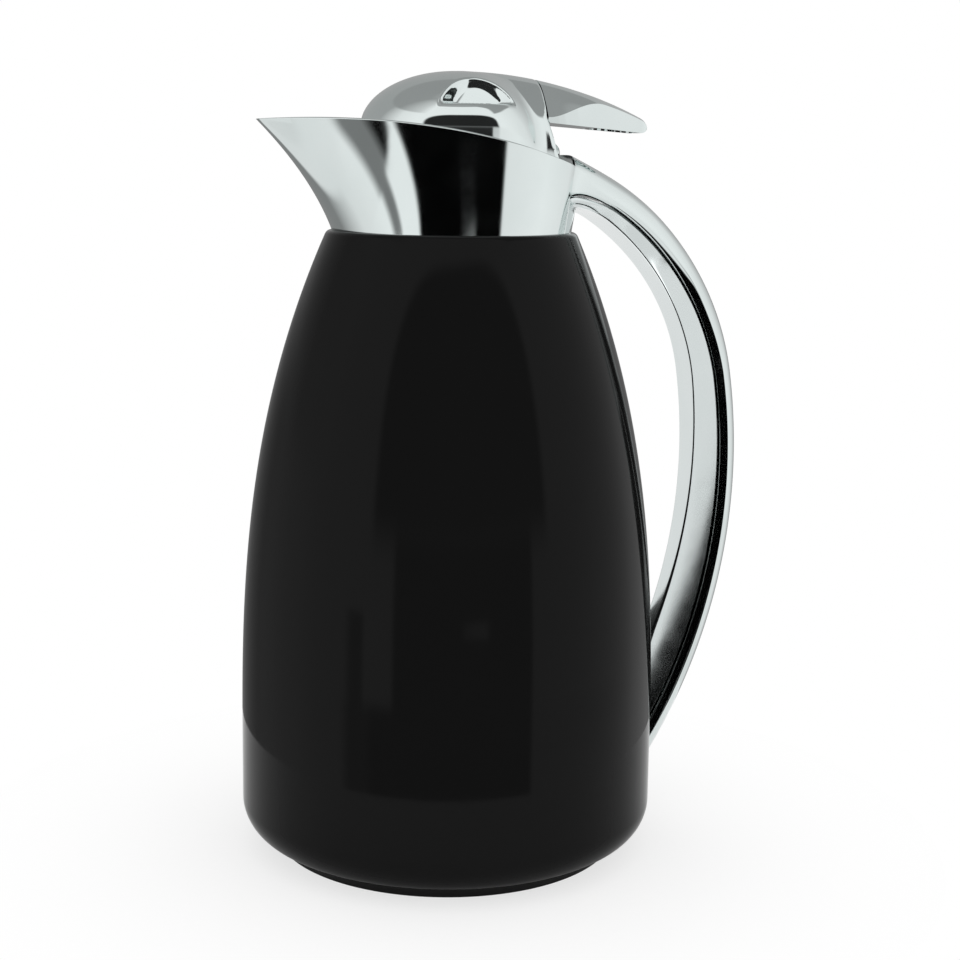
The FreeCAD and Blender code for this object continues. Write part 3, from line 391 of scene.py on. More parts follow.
class Finishes:
    """The jug's finishes."""

    # Stoved gloss lacquer on drawn steel: deep black, a weak clear reflection and a trace of orange peel.
    LACQUER = Finish("black_lacquer", "stoved_black_lacquer", "#121212", "#141414", 0.0, (0.05, 0.08),
                     40.0, 2.0, 0.0006, specular=0.06)
    # Bright chrome on moulded plastic: a mirror with a faint green-grey tint and slight waviness.
    CHROME = Finish("chrome_plate", "bright_chrome_plate", "#d9e2e1", "#e4ebea", 1.0, (0.04, 0.07),
                    18.0, 9.0, 0.004)
    # The same plate on the grip half, a little softer from use.
    GRIP_CHROME = Finish("satin_chrome_plate", "softened_chrome_plate", "#dbe3e2", "#e6ecec", 1.0, (0.07, 0.10),
                         18.0, 9.0, 0.004)
    # Moulded black polypropylene with a fine satin tooth.
    PLASTIC = Finish("black_plastic", "moulded_black_plastic", "#080808", "#0d0d0d", 0.0, (0.38, 0.5),
                     15.0, 0.6, 0.012, specular=0.3)
    # Silvered glass of a vacuum flask: a pale warm mirror with cloudy silvering.
    SILVERED = Finish("silvered_glass", "silvered_flask_glass", "#cfcdc4", "#e2e1da", 1.0, (0.03, 0.1),
                      22.0, 5.0, 0.002)
    # Bright drawn steel with fine lengthwise streaks.
    STEEL = Finish("bright_steel", "bright_drawn_steel", "#9a9a9a", "#bdbdbd", 1.0, (0.18, 0.32),
                   6.0, 0.5, 0.003, stretch=(0.2, 1.0, 1.0))
    # Cast silicone: milky and soft.
    SILICONE = Finish("clear_silicone", "milky_cast_silicone", "#cfcfc6", "#e0e0d8", 0.0, (0.35, 0.45),
                      8.0, 0.8, 0.008, transmission=0.25)
    # Moulded grey rubber with a dusty bloom.
    RUBBER = Finish("grey_rubber", "moulded_grey_rubber", "#3a3a3a", "#4a4a4a", 0.0, (0.6, 0.75), 10.0, 0.7, 0.015)
    # Open-cell white foam with visible cells.
    FOAM = Finish("white_foam", "open_cell_foam", "#d8d8d2", "#f0f0ea", 0.0, (0.85, 0.95), 2.0, 0.9, 0.25)
    # Pressed felt pad with short fibres.
    FELT = Finish("fibre_pad", "pressed_felt", "#a8a294", "#c4beb0", 0.0, (0.85, 0.95), 3.0, 0.4, 0.1,
                  stretch=(0.3, 1.0, 1.0), sheen=0.3)

    @classmethod
    def by_slot(cls) -> dict[str, Finish]:
        """Every finish by the record's slot that it belongs to."""
        return {value.slot: value for value in vars(cls).values() if isinstance(value, Finish)}


def box_mm(node: str) -> tuple[np.ndarray, np.ndarray]:
    """Lowest and highest corner of a solid in millimetres."""
    low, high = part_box(node)
    return np.array(low) / MM, np.array(high) / MM


@dataclass
class Jacket:
    """Drawn jacket with its shoulder and foot corner, and the foot ring below it."""

    wall: float = 0.8
    lean_start: float = 30.0
    lean_power: float = 2.75
    neck_radius: float = 41.0
    neck_hole: float = 34.5
    shoulder: float = 2.2
    corner: float = 12.3
    corner_sweep: float = 67.0
    lip_radius: float = 56.0
    ring_top: float = 60.5
    ring_foot: float = 58.0
    ring_width: float = 6.5
    ring_edge: float = 0.8
    fit: float = 0.1
    corner_rows: int = 24
    side_rows: int = 120
    shoulder_rows: int = 12
    segments: int = 320

    def __post_init__(self) -> None:
        """Take the main sizes from the solids."""
        low, high = box_mm("body_casing")
        self.radius = float(high[0])
        self.top = float(high[2])
        self.foot = float(low[2])

    def side(self, z: np.ndarray) -> np.ndarray:
        """Outer radius at a height: full radius, less a power of the height above where the lean starts."""
        share = np.maximum(z - self.lean_start, 0.0) / (self.top - self.lean_start)
        return self.radius - (self.radius - self.neck_radius) * share ** self.lean_power

    def profile(self, inset: float) -> np.ndarray:
        """Profile from the foot lip up to the neck hole: corner arc, leaning side, rounded shoulder.

        Args:
            inset: distance inside the outer face.

        Returns:
            Points as (n, 2) of radius and height.
        """
        centre = (self.radius - self.corner, self.foot + self.corner * np.sin(np.radians(self.corner_sweep)))
        corner = arc(centre, self.corner - inset, -self.corner_sweep, 0.0, self.corner_rows)
        lean = np.arctan2(self.lean_power * (self.radius - self.neck_radius), self.top - self.lean_start)
        z_fillet = self.top - self.shoulder * (1 - np.sin(lean))
        z = np.linspace(centre[1], z_fillet, self.side_rows)[1:]
        side = np.stack([self.side(z) - inset, z], axis=1)
        middle = (self.side(np.array([z_fillet]))[0] - self.shoulder * np.cos(lean),
                  self.top - self.shoulder)
        shoulder = arc(middle, self.shoulder - inset, np.degrees(lean), 90.0, self.shoulder_rows)[1:]
        lip = np.array([[self.lip_radius, corner[0, 1]]])
        hole = np.array([[self.neck_hole, self.top - inset]])
        return np.concatenate([lip, corner, side, shoulder, hole])

    def build(self) -> None:
        """Make the jacket as a turned wall and the foot ring as a turned bead with rounded edges."""
        outer = self.profile(0.0)
        inner = self.profile(self.wall)[::-1]
        skin = Skin()
        skin.add(lathe(np.concatenate([outer, inner, outer[:1]]), self.segments), wrap=True)
        skin.piece("jacket", Body.JUG, ("body_casing",), Finishes.LACQUER)
        top = box_mm("base_ring")[1][2]
        inside = self.ring_foot - self.ring_width
        spigot = self.lip_radius - self.fit
        edge = self.ring_edge
        bead = np.concatenate([
            arc((inside + edge, edge), edge, 180.0, 270.0, 6),
            arc((self.ring_foot - edge, edge), edge, -90.0, -20.0, 8),
            np.array([[self.ring_top, self.foot], [spigot, self.foot], [spigot, top], [inside, top], [inside, edge]])])
        ring = Skin()
        ring.add(lathe(bead, self.segments), wrap=True)
        ring.piece("foot_ring", Body.JUG, ("base_ring",), Finishes.PLASTIC)


@dataclass
class CollarAndHandle:
    """Chromed collar with its spout, the handle's outer band in one with it, and the inner half of the handle."""

    jacket: Jacket
    radius: float = 39.4
    wall: float = 2.4
    curl: float = 0.43
    pinch: float = 0.5
    side_flare: float = 1.2
    rear_flare: float = 6.0
    rim_rise: float = 35.6
    rim_peak_x: float = -48.0
    rim_bow: float = 252.0
    rim_round: float = 0.5
    nose_thinning: float = 0.7
    lip_x: float = 36.5
    seam_y: float = 23.5
    notch_rise: float = 12.0
    root_drop: float = 4.6
    gap: float = 0.8
    bow_radius: float = 200.0
    top_radius: float = 91.4
    break_angle: float = np.radians(9.7)
    blend_angle: float = np.radians(58.0)
    crest_rise: float = 25.0
    half_width: Triple = (24.0, 10.0, 8.5)
    flare_power: float = 2.6
    shell_depth: Triple = (10.1, 8.0, 8.0)
    shell_side: Triple = (1.9, 3.1, 3.1)
    insert_depth: Triple = (1.9, 7.2, 12.6)
    parting: Triple = (0.97, 0.96, 0.86)
    crown_power: float = 2.5
    lip_power: float = 5.4
    root_power: float = 0.8
    grip_power: float = 24.0
    grip_taper: Triple = (0.14, 0.14, 0.6)
    # Degrees of the rows close to the grip's lip, and where the rows after them start.
    grip_lip: tuple[float, ...] = (0.0, 0.3, 0.6, 1.0, 1.6, 2.6)
    grip_start: float = 4.0
    # Degrees along the arcs from which the crease fades into the soft crown, and over which it does so.
    crease_fade: Pair = (22.0, 30.0)
    # Turn of the section at which the rim's end sits on the lip.
    edge_turn: float = np.radians(37.5)
    root_margin: float = np.radians(5.0)
    foot_margin: float = np.radians(3.0)
    foot_start: float = np.radians(-5.0)
    foot_gap: float = 0.05
    ease_passes: int = 4
    # Lengths of the vectors that shape the blends: away from the two halves, and into the collar's wall, crest,
    # floor and strip, with the slopes that they have there.
    shell_pull: float = 20.0
    insert_pull: float = 14.0
    wall_pull: float = 11.0
    wall_slope: Pair = (-7.5, 2.5)
    crest_pull: float = 20.0
    floor_pull: float = 8.0
    floor_slope: float = -4.0
    strip_pull: float = 7.0
    strip_slope: float = -0.5
    strip_drop: float = -5.0
    cheek_depth: float = 3.0
    back_inset: float = 8.0
    # Angles over which the wall grows from the seam, and from which and over which it thins to the nose.
    wall_growth: float = np.radians(24.0)
    nose_from: float = np.radians(130.0)
    nose_span: float = np.radians(45.0)
    # Radii of the skirt inside the jacket's neck and of its floor, and their heights.
    skirt_radii: Triple = (30.8, 33.0, 37.0)
    skirt_heights: Triple = (195.3, 208.3, 210.3)
    skirt_segments: int = 96
    rim_steps: int = 30
    rim_rows: int = 11
    inner_rows: int = 16
    notch_rows: int = 10
    lip_wall_rows: int = 12
    wall_rows: int = 14
    crown_rows: int = 30
    belly_rows: int = 46
    blend_columns: int = 40
    band_columns: int = 170
    collar_columns: int = 170

    def __post_init__(self) -> None:
        """Take the reach of spout and handle from the solids and place the two arcs of the crest."""
        low, high = box_mm("collar_handle_shell")
        self.spout_gain = -float(low[0]) - self.radius
        self.base_z = self.jacket.top
        self.notch_z = self.base_z + self.notch_rise
        step = self.bow_radius - self.top_radius
        bow_x = float(high[0]) - self.bow_radius
        top_x = bow_x + step * np.cos(self.break_angle)
        span = self.lip_x - top_x
        top_z = self.base_z + self.crest_rise - np.sqrt(self.top_radius ** 2 - span ** 2)
        self.top_centre = (top_x, top_z)
        self.bow_centre = (bow_x, top_z - step * np.sin(self.break_angle))
        self.lip_angle = np.arccos(span / self.top_radius)
        self.root_angle = self.lip_angle + self.root_margin
        self.foot_angle = -np.arccos((self.jacket.radius - bow_x) / self.bow_radius) - self.foot_margin

    def collar(self, angle: np.ndarray, z: np.ndarray, inset: np.ndarray | float = 0.0) -> np.ndarray:
        """Collar face: half ellipses at the front and rear that grow with height, pinched in towards the nose.

        Args:
            angle: angle from the handle's side.
            z: height.
            inset: distance inside the outer face.

        Returns:
            Points of the shape that the arguments give together.
        """
        t = (z - self.base_z) / self.rim_rise
        front = self.radius + self.spout_gain * ((1 - self.curl) * t + self.curl * t ** 2)
        rear = self.radius + self.rear_flare * t
        nose = np.maximum(0.0, -np.cos(angle)) ** 2
        x = np.cos(angle) * (np.where(np.cos(angle) < 0, front, rear) - inset)
        y = np.sin(angle) * (self.radius + self.side_flare * t - inset) * (1 - self.pinch * t * nose)
        return place(x, y, z + 0 * x)

    def rim_z(self, x: np.ndarray) -> np.ndarray:
        """Height of the rim: an arc of a large circle whose peak lies above the spout."""
        return self.base_z + self.rim_rise - self.rim_bow + np.sqrt(self.rim_bow ** 2 - (x - self.rim_peak_x) ** 2)

    def seam_angle(self, z: np.ndarray) -> np.ndarray:
        """Angle of the seam, which keeps one distance from the middle plane."""
        t = (z - self.base_z) / self.rim_rise
        return np.arcsin(self.seam_y / (self.radius + self.side_flare * t))

    def rim_height(self, share: np.ndarray) -> tuple[np.ndarray, np.ndarray]:
        """Angle and height of the rim for shares of the way from the seam to the nose."""
        z = np.full_like(share, self.base_z + self.rim_rise)
        angle = share
        for _ in range(self.rim_steps):
            first = self.seam_angle(z)
            angle = first + (np.pi - first) * share
            z = self.rim_z(self.collar(angle, z)[..., 0])
        return angle, z

    def from_seam(self, share: np.ndarray, z: np.ndarray, inset: np.ndarray | float = 0.0) -> np.ndarray:
        """Points of the collar at given heights, for shares of the way from the seam to the nose."""
        first = self.seam_angle(z)
        return self.collar(first + (np.pi - first) * share, z, inset)

    def along(self, angle: np.ndarray, sizes: Triple, power: float = 1.0) -> np.ndarray:
        """A size that changes from the handle's root to where its arcs meet, and from there to its foot."""
        root, bow, foot = sizes
        up = np.maximum(angle - self.break_angle, 0.0) / (self.root_angle - self.break_angle)
        down = np.maximum(self.break_angle - angle, 0.0) / (self.break_angle - self.foot_angle)
        return bow + (root - bow) * up ** power + (foot - bow) * down

    def on_band(self, angle: np.ndarray, y: np.ndarray, depth: np.ndarray) -> np.ndarray:
        """Point of the handle at an angle of its arcs, a distance across and a depth below the crest."""
        top = angle >= self.break_angle
        radius = np.where(top, self.top_radius, self.bow_radius) - depth
        x = np.where(top, self.top_centre[0], self.bow_centre[0]) + radius * np.cos(angle)
        z = np.where(top, self.top_centre[1], self.bow_centre[1]) + radius * np.sin(angle)
        return place(x, y, z)

    def floor_share(self) -> np.ndarray:
        """Shares of the half width at which the flat parting faces have their rows."""
        return np.array([0.0, 0.45, 0.75, 0.88, 0.94, 0.97, 0.985])

    def shell_rows(self, angle: np.ndarray) -> np.ndarray:
        """Half section of the outer band: flat floor, side and crown.

        Near the collar the section is one soft superellipse. Down the bow it turns into a straight side and a
        flatter arc that meet at a crease.

        Args:
            angle: angle of the handle's arcs for each row, (columns, rows).

        Returns:
            Points as (columns, rows, 3).
        """
        half = self.along(angle, self.half_width, self.flare_power)
        depth = self.along(angle, self.shell_depth)
        side = self.along(angle, self.shell_side)
        flat = self.floor_share()
        low = np.linspace(0.0, 1.0, self.wall_rows + 1)
        high = np.linspace(0.0, 1.0, self.crown_rows + 1)[1:]
        turn = np.concatenate([self.edge_turn * low, self.edge_turn + (np.pi / 2 - self.edge_turn) * high])
        soft_y, soft_up = superellipse(turn, self.crown_power)
        count = len(flat)
        half_up, depth_up, side_up = half[:, count:], depth[:, count:], side[:, count:]
        rise = depth_up - side_up
        bend = (half_up ** 2 + rise ** 2) / (2 * rise)
        sweep = np.arcsin(half_up / bend) * np.concatenate([np.ones_like(low), 1 - high])
        on_side = np.concatenate([np.ones_like(low), np.zeros_like(high)]) > 0.5
        climb = np.concatenate([low, np.ones_like(high)])
        share = self.along(angle, self.parting)
        lean = share[:, count:] + (1 - share[:, count:]) * climb
        crease_y = np.where(on_side, half_up * lean, bend * np.sin(sweep))
        crease_up = np.where(on_side, side_up * climb, depth_up - bend + bend * np.cos(sweep))
        fade_from, fade_span = self.crease_fade
        weight = 1 - smooth_step((np.degrees(angle[:, count:]) - fade_from) / fade_span)
        y = (1 - weight) * half_up * soft_y + weight * crease_y
        up = (1 - weight) * depth_up * soft_up + weight * crease_up
        across = np.concatenate([half[:, :count] * flat * share[:, :count], y], axis=1)
        below = np.concatenate([depth[:, :count], depth_up - up], axis=1)
        return self.on_band(angle, across, below)

    def insert_rows(self, angle: np.ndarray) -> np.ndarray:
        """Half section of the inner half: flat floor below the parting line, then a boxy side that leans inwards.

        Args:
            angle: angle of the handle's arcs for each row, (columns, rows).

        Returns:
            Points as (columns, rows, 3).
        """
        half = self.along(angle, self.half_width, self.flare_power)
        low = self.along(angle, self.shell_depth) + self.gap
        deep = self.along(angle, self.insert_depth)
        flat = self.floor_share()
        side_y, side_down = superellipse(self.grip_turn(), self.grip_power)
        down = np.concatenate([0 * flat, side_down])
        wide = half * self.along(angle, self.parting) * (1 - self.along(angle, self.grip_taper) * down)
        return self.on_band(angle, wide * np.concatenate([flat, side_y]), low + deep * down)

    def grip_turn(self) -> np.ndarray:
        """Turns of the grip's section, close together at its lip and at its inner corner."""
        lip = np.radians(self.grip_lip)
        even = np.linspace(-1.0, 1.0, self.belly_rows + 1 - len(lip))
        reach = np.pi / 4 - np.radians(self.grip_start / 2 * (1.0 - even))
        return np.concatenate([lip, np.pi / 4 + reach * even * even ** 2])

    def band(self, rows: Callable[[np.ndarray], np.ndarray], count: int) -> np.ndarray:
        """Columns of one half of the handle from the jacket up to where it blends into the collar.

        Args:
            rows: function that gives a section's points for the angles of its rows.
            count: rows of the section.

        Returns:
            Points as (columns, rows, 3), with corners eased and the first column on the jacket.
        """
        def gap(angle: np.ndarray) -> np.ndarray:
            """Distance of the rows' points outside the jacket."""
            spot = rows(angle[None, :])[0]
            return np.hypot(spot[:, 0], spot[:, 1]) - self.jacket.side(spot[:, 2]) - self.foot_gap
        first = bisect(np.full(count, self.foot_start), np.full(count, self.foot_angle), gap)
        share = np.linspace(0.0, 1.0, self.band_columns)[:, None]
        grid = rows(first + (self.blend_angle - first) * share)
        for _ in range(self.ease_passes):
            mirror = grid[:, -2:-1] * MIRROR
            wide = np.concatenate([grid, mirror], axis=1)
            grid = np.concatenate([grid[:, :1], (wide[:, :-2] + 2 * wide[:, 1:-1] + wide[:, 2:]) / 4], axis=1)
        return grid

    def seam_line(self, z: np.ndarray, y: np.ndarray | float) -> np.ndarray:
        """Points of the collar's rear face at given heights and distances from the middle plane."""
        t = (z - self.base_z) / self.rim_rise
        return self.collar(np.arcsin(y / (self.radius + self.side_flare * t)), z)

    def lip_rows(self) -> np.ndarray:
        """Lip behind the lid from the rim's end to the crest: a boxy superellipse, bowed a little to the rear."""
        _, height = self.rim_height(np.array([0.0]))
        end = self.seam_line(height, self.seam_y)[0]
        turn = self.edge_turn + (np.pi / 2 - self.edge_turn) * np.linspace(0.0, 1.0, self.crown_rows + 1)
        y, up = superellipse(turn, self.lip_power)
        y = end[1] * y / y[0]
        top = self.base_z + self.crest_rise
        z = end[2] + (top - end[2]) * (up - up[0]) / (up[-1] - up[0])
        return place(self.lip_x - (self.lip_x - end[0]) * (y / end[1]) ** 2, y, z)

    def root_column(self) -> tuple[np.ndarray, np.ndarray]:
        """Line where the handle's outer band meets the collar, and the vectors along which it arrives there.

        Returns:
            Points and vectors of the floor, wall and crown rows.
        """
        flat = self.floor_share()
        floor = self.seam_line(np.full_like(flat, self.notch_z), self.seam_y * flat)
        lip = self.lip_rows()
        z = np.linspace(self.notch_z, lip[0, 2], self.wall_rows + 1)
        side = self.seam_line(z, self.seam_y)
        angle = self.seam_angle(z)
        round_way = place(-np.sin(angle), np.cos(angle), 0 * angle) * self.wall_pull
        round_way[:, 2] = np.linspace(*self.wall_slope, self.wall_rows + 1)
        back = np.array([-np.sin(self.lip_angle), 0.0, np.cos(self.lip_angle)]) * self.crest_pull
        share = smooth_step(np.linspace(0.0, 1.0, self.crown_rows + 1)[1:, None])
        crown_way = round_way[-1] * (1 - share) + back * share
        floor_way = np.tile([-self.floor_pull, 0.0, 0.0], (len(flat), 1))
        floor_way[:, 2] = np.linspace(0.0, self.wall_slope[0], len(flat))
        return np.concatenate([floor, side, lip[1:]]), np.concatenate([floor_way, round_way, crown_way])

    def add_half(self, skin: Skin, band: np.ndarray, root: tuple[np.ndarray, np.ndarray], pull: float,
                 flip: bool) -> None:
        """Add one half of the handle: its band, the blend into the collar and the face at its foot.

        Args:
            skin: skin that gets the grids.
            band: columns of the half, (columns, rows, 3).
            root: points where it meets the collar, and the vectors along which it arrives there.
            pull: length of the vectors along which it leaves the band.
            flip: True turns the faces round.
        """
        step = band[-1] - band[-2]
        leave = step / np.linalg.norm(step, axis=1, keepdims=True) * pull
        blend = hermite(band[-1], leave, *root, self.blend_columns)
        skin.add_pair(np.concatenate([band, blend[1:]]).transpose(1, 0, 2), flip)
        skin.add_pair(np.stack([band[0], band[0] * ON_PLANE]).transpose(1, 0, 2), not flip)

    def build_shell(self) -> None:
        """Make the collar, spout and outer band as one skin."""
        skin = Skin()
        flat = len(self.floor_share())
        band = self.band(self.shell_rows, flat + self.wall_rows + 1 + self.crown_rows)
        root = self.root_column()
        self.add_half(skin, band, root, self.shell_pull, flip=False)
        self.add_collar(skin, root[0][flat + self.wall_rows:])
        skin.piece("collar_handle_shell_skin", Body.JUG, ("collar_handle_shell",), Finishes.CHROME)

    def add_collar(self, skin: Skin, lip: np.ndarray) -> None:
        """Add the collar's outer wall, rounded rim, inner wall, lip wall and underside.

        Args:
            skin: skin that gets the grids.
            lip: points of the lip from the rim's end to the crest.
        """
        share = np.linspace(0.0, 1.0, self.collar_columns)
        rim_angle, rim = self.rim_height(share)
        thick = self.wall * smooth_step((rim_angle - rim_angle[0]) / self.wall_growth)
        thick = thick * (1 - self.nose_thinning * smooth_step((rim_angle - self.nose_from) / self.nose_span))
        edge = rim - self.rim_round * thick / self.wall
        low = np.linspace(self.base_z, self.notch_z, self.notch_rows)[:, None] + 0 * share
        rows = np.linspace(0.0, 1.0, self.wall_rows + 1)[1:, None]
        z = np.concatenate([low, self.notch_z + (edge - self.notch_z) * rows])
        skin.add_pair(self.from_seam(share, z))
        turn = np.linspace(0.0, np.pi, self.rim_rows)[:, None]
        over = self.collar(rim_angle + 0 * turn, edge + (rim - edge) * np.sin(turn), thick * (1 - np.cos(turn)) / 2)
        skin.add_pair(over)
        fall = np.linspace(1.0, 0.0, self.inner_rows)[:, None]
        skin.add_pair(self.from_seam(share, self.base_z + (edge - self.base_z) * fall, thick + 0 * fall))
        z_low = np.full((2, len(share)), self.base_z)
        skin.add_pair(self.from_seam(share, z_low, thick * np.array([[0.0], [1.0]])), flip=True)
        line = lip[::-1]
        drop = np.linspace(0.0, 1.0, self.lip_wall_rows)[:, None]
        height = line[:, 2] + (self.notch_z - line[:, 2]) * drop
        seam_x = self.seam_line(height, self.seam_y)[..., 0]
        x = line[:, 0] + (seam_x - self.seam_line(line[:, 2], self.seam_y)[..., 0]) * (line[:, 1] / self.seam_y) ** 2
        wall = place(x, line[:, 1] + 0 * x, height)
        skin.add_pair(wall)
        rear = self.seam_line(wall[-1, :, 2], np.minimum(wall[-1, :, 1], self.seam_y))
        skin.add_pair(np.stack([wall[-1], rear]))
        inner, outer, ledge = self.skirt_radii
        foot, seat, floor = self.skirt_heights
        skirt = np.array([[outer, foot], [outer, seat], [ledge, seat], [ledge, floor], [inner, floor], [inner, foot],
                          [outer, foot]])
        skin.add(lathe(skirt, self.skirt_segments), wrap=True)

    def build_insert(self) -> None:
        """Make the inner half of the handle with the strip that fills the collar's notch."""
        skin = Skin()
        flat = self.floor_share()
        band = self.band(self.insert_rows, len(flat) + self.belly_rows + 1)
        inner = self.seam_y - self.gap
        top = self.notch_z - self.gap
        floor = self.seam_line(np.full_like(flat, top), inner * flat)
        turn = np.linspace(0.0, np.pi / 2, self.belly_rows + 1)
        root_y = inner * np.cos(turn) ** self.root_power
        root_z = top - self.root_drop * np.sin(turn) ** self.root_power
        line = np.concatenate([floor, self.seam_line(root_z, root_y)])
        angle = np.arcsin(root_y / self.radius)
        share = smooth_step(turn / (np.pi / 2))[:, None]
        round_way = place(-np.sin(angle), np.cos(angle), 0 * angle + self.strip_slope) * self.strip_pull
        root_way = round_way * (1 - share) + np.array([0.0, 0.0, self.strip_drop]) * share
        floor_way = np.tile([-self.floor_pull, 0.0, self.floor_slope], (len(flat), 1))
        arrive = np.concatenate([floor_way, root_way])
        self.add_half(skin, band, (line, arrive), self.insert_pull, flip=True)
        drop = np.linspace(0.0, 1.0, self.notch_rows)[:, None]
        skin.add_pair(self.seam_line(root_z + (self.base_z - root_z) * drop, root_y + 0 * drop), flip=True)
        cheek = self.seam_line(np.linspace(top, self.base_z, self.notch_rows), inner)
        skin.add_pair(np.stack([cheek, cheek - np.array([self.cheek_depth, 0.0, 0.0])]))
        back = place(np.full((2, 2), self.lip_x), np.array([[0.0, inner - self.back_inset]]),
                     np.array([[top], [self.base_z]]))
        skin.add_pair(back)
        skin.piece("handle_insert_skin", Body.JUG, ("handle_insert",), Finishes.GRIP_CHROME)


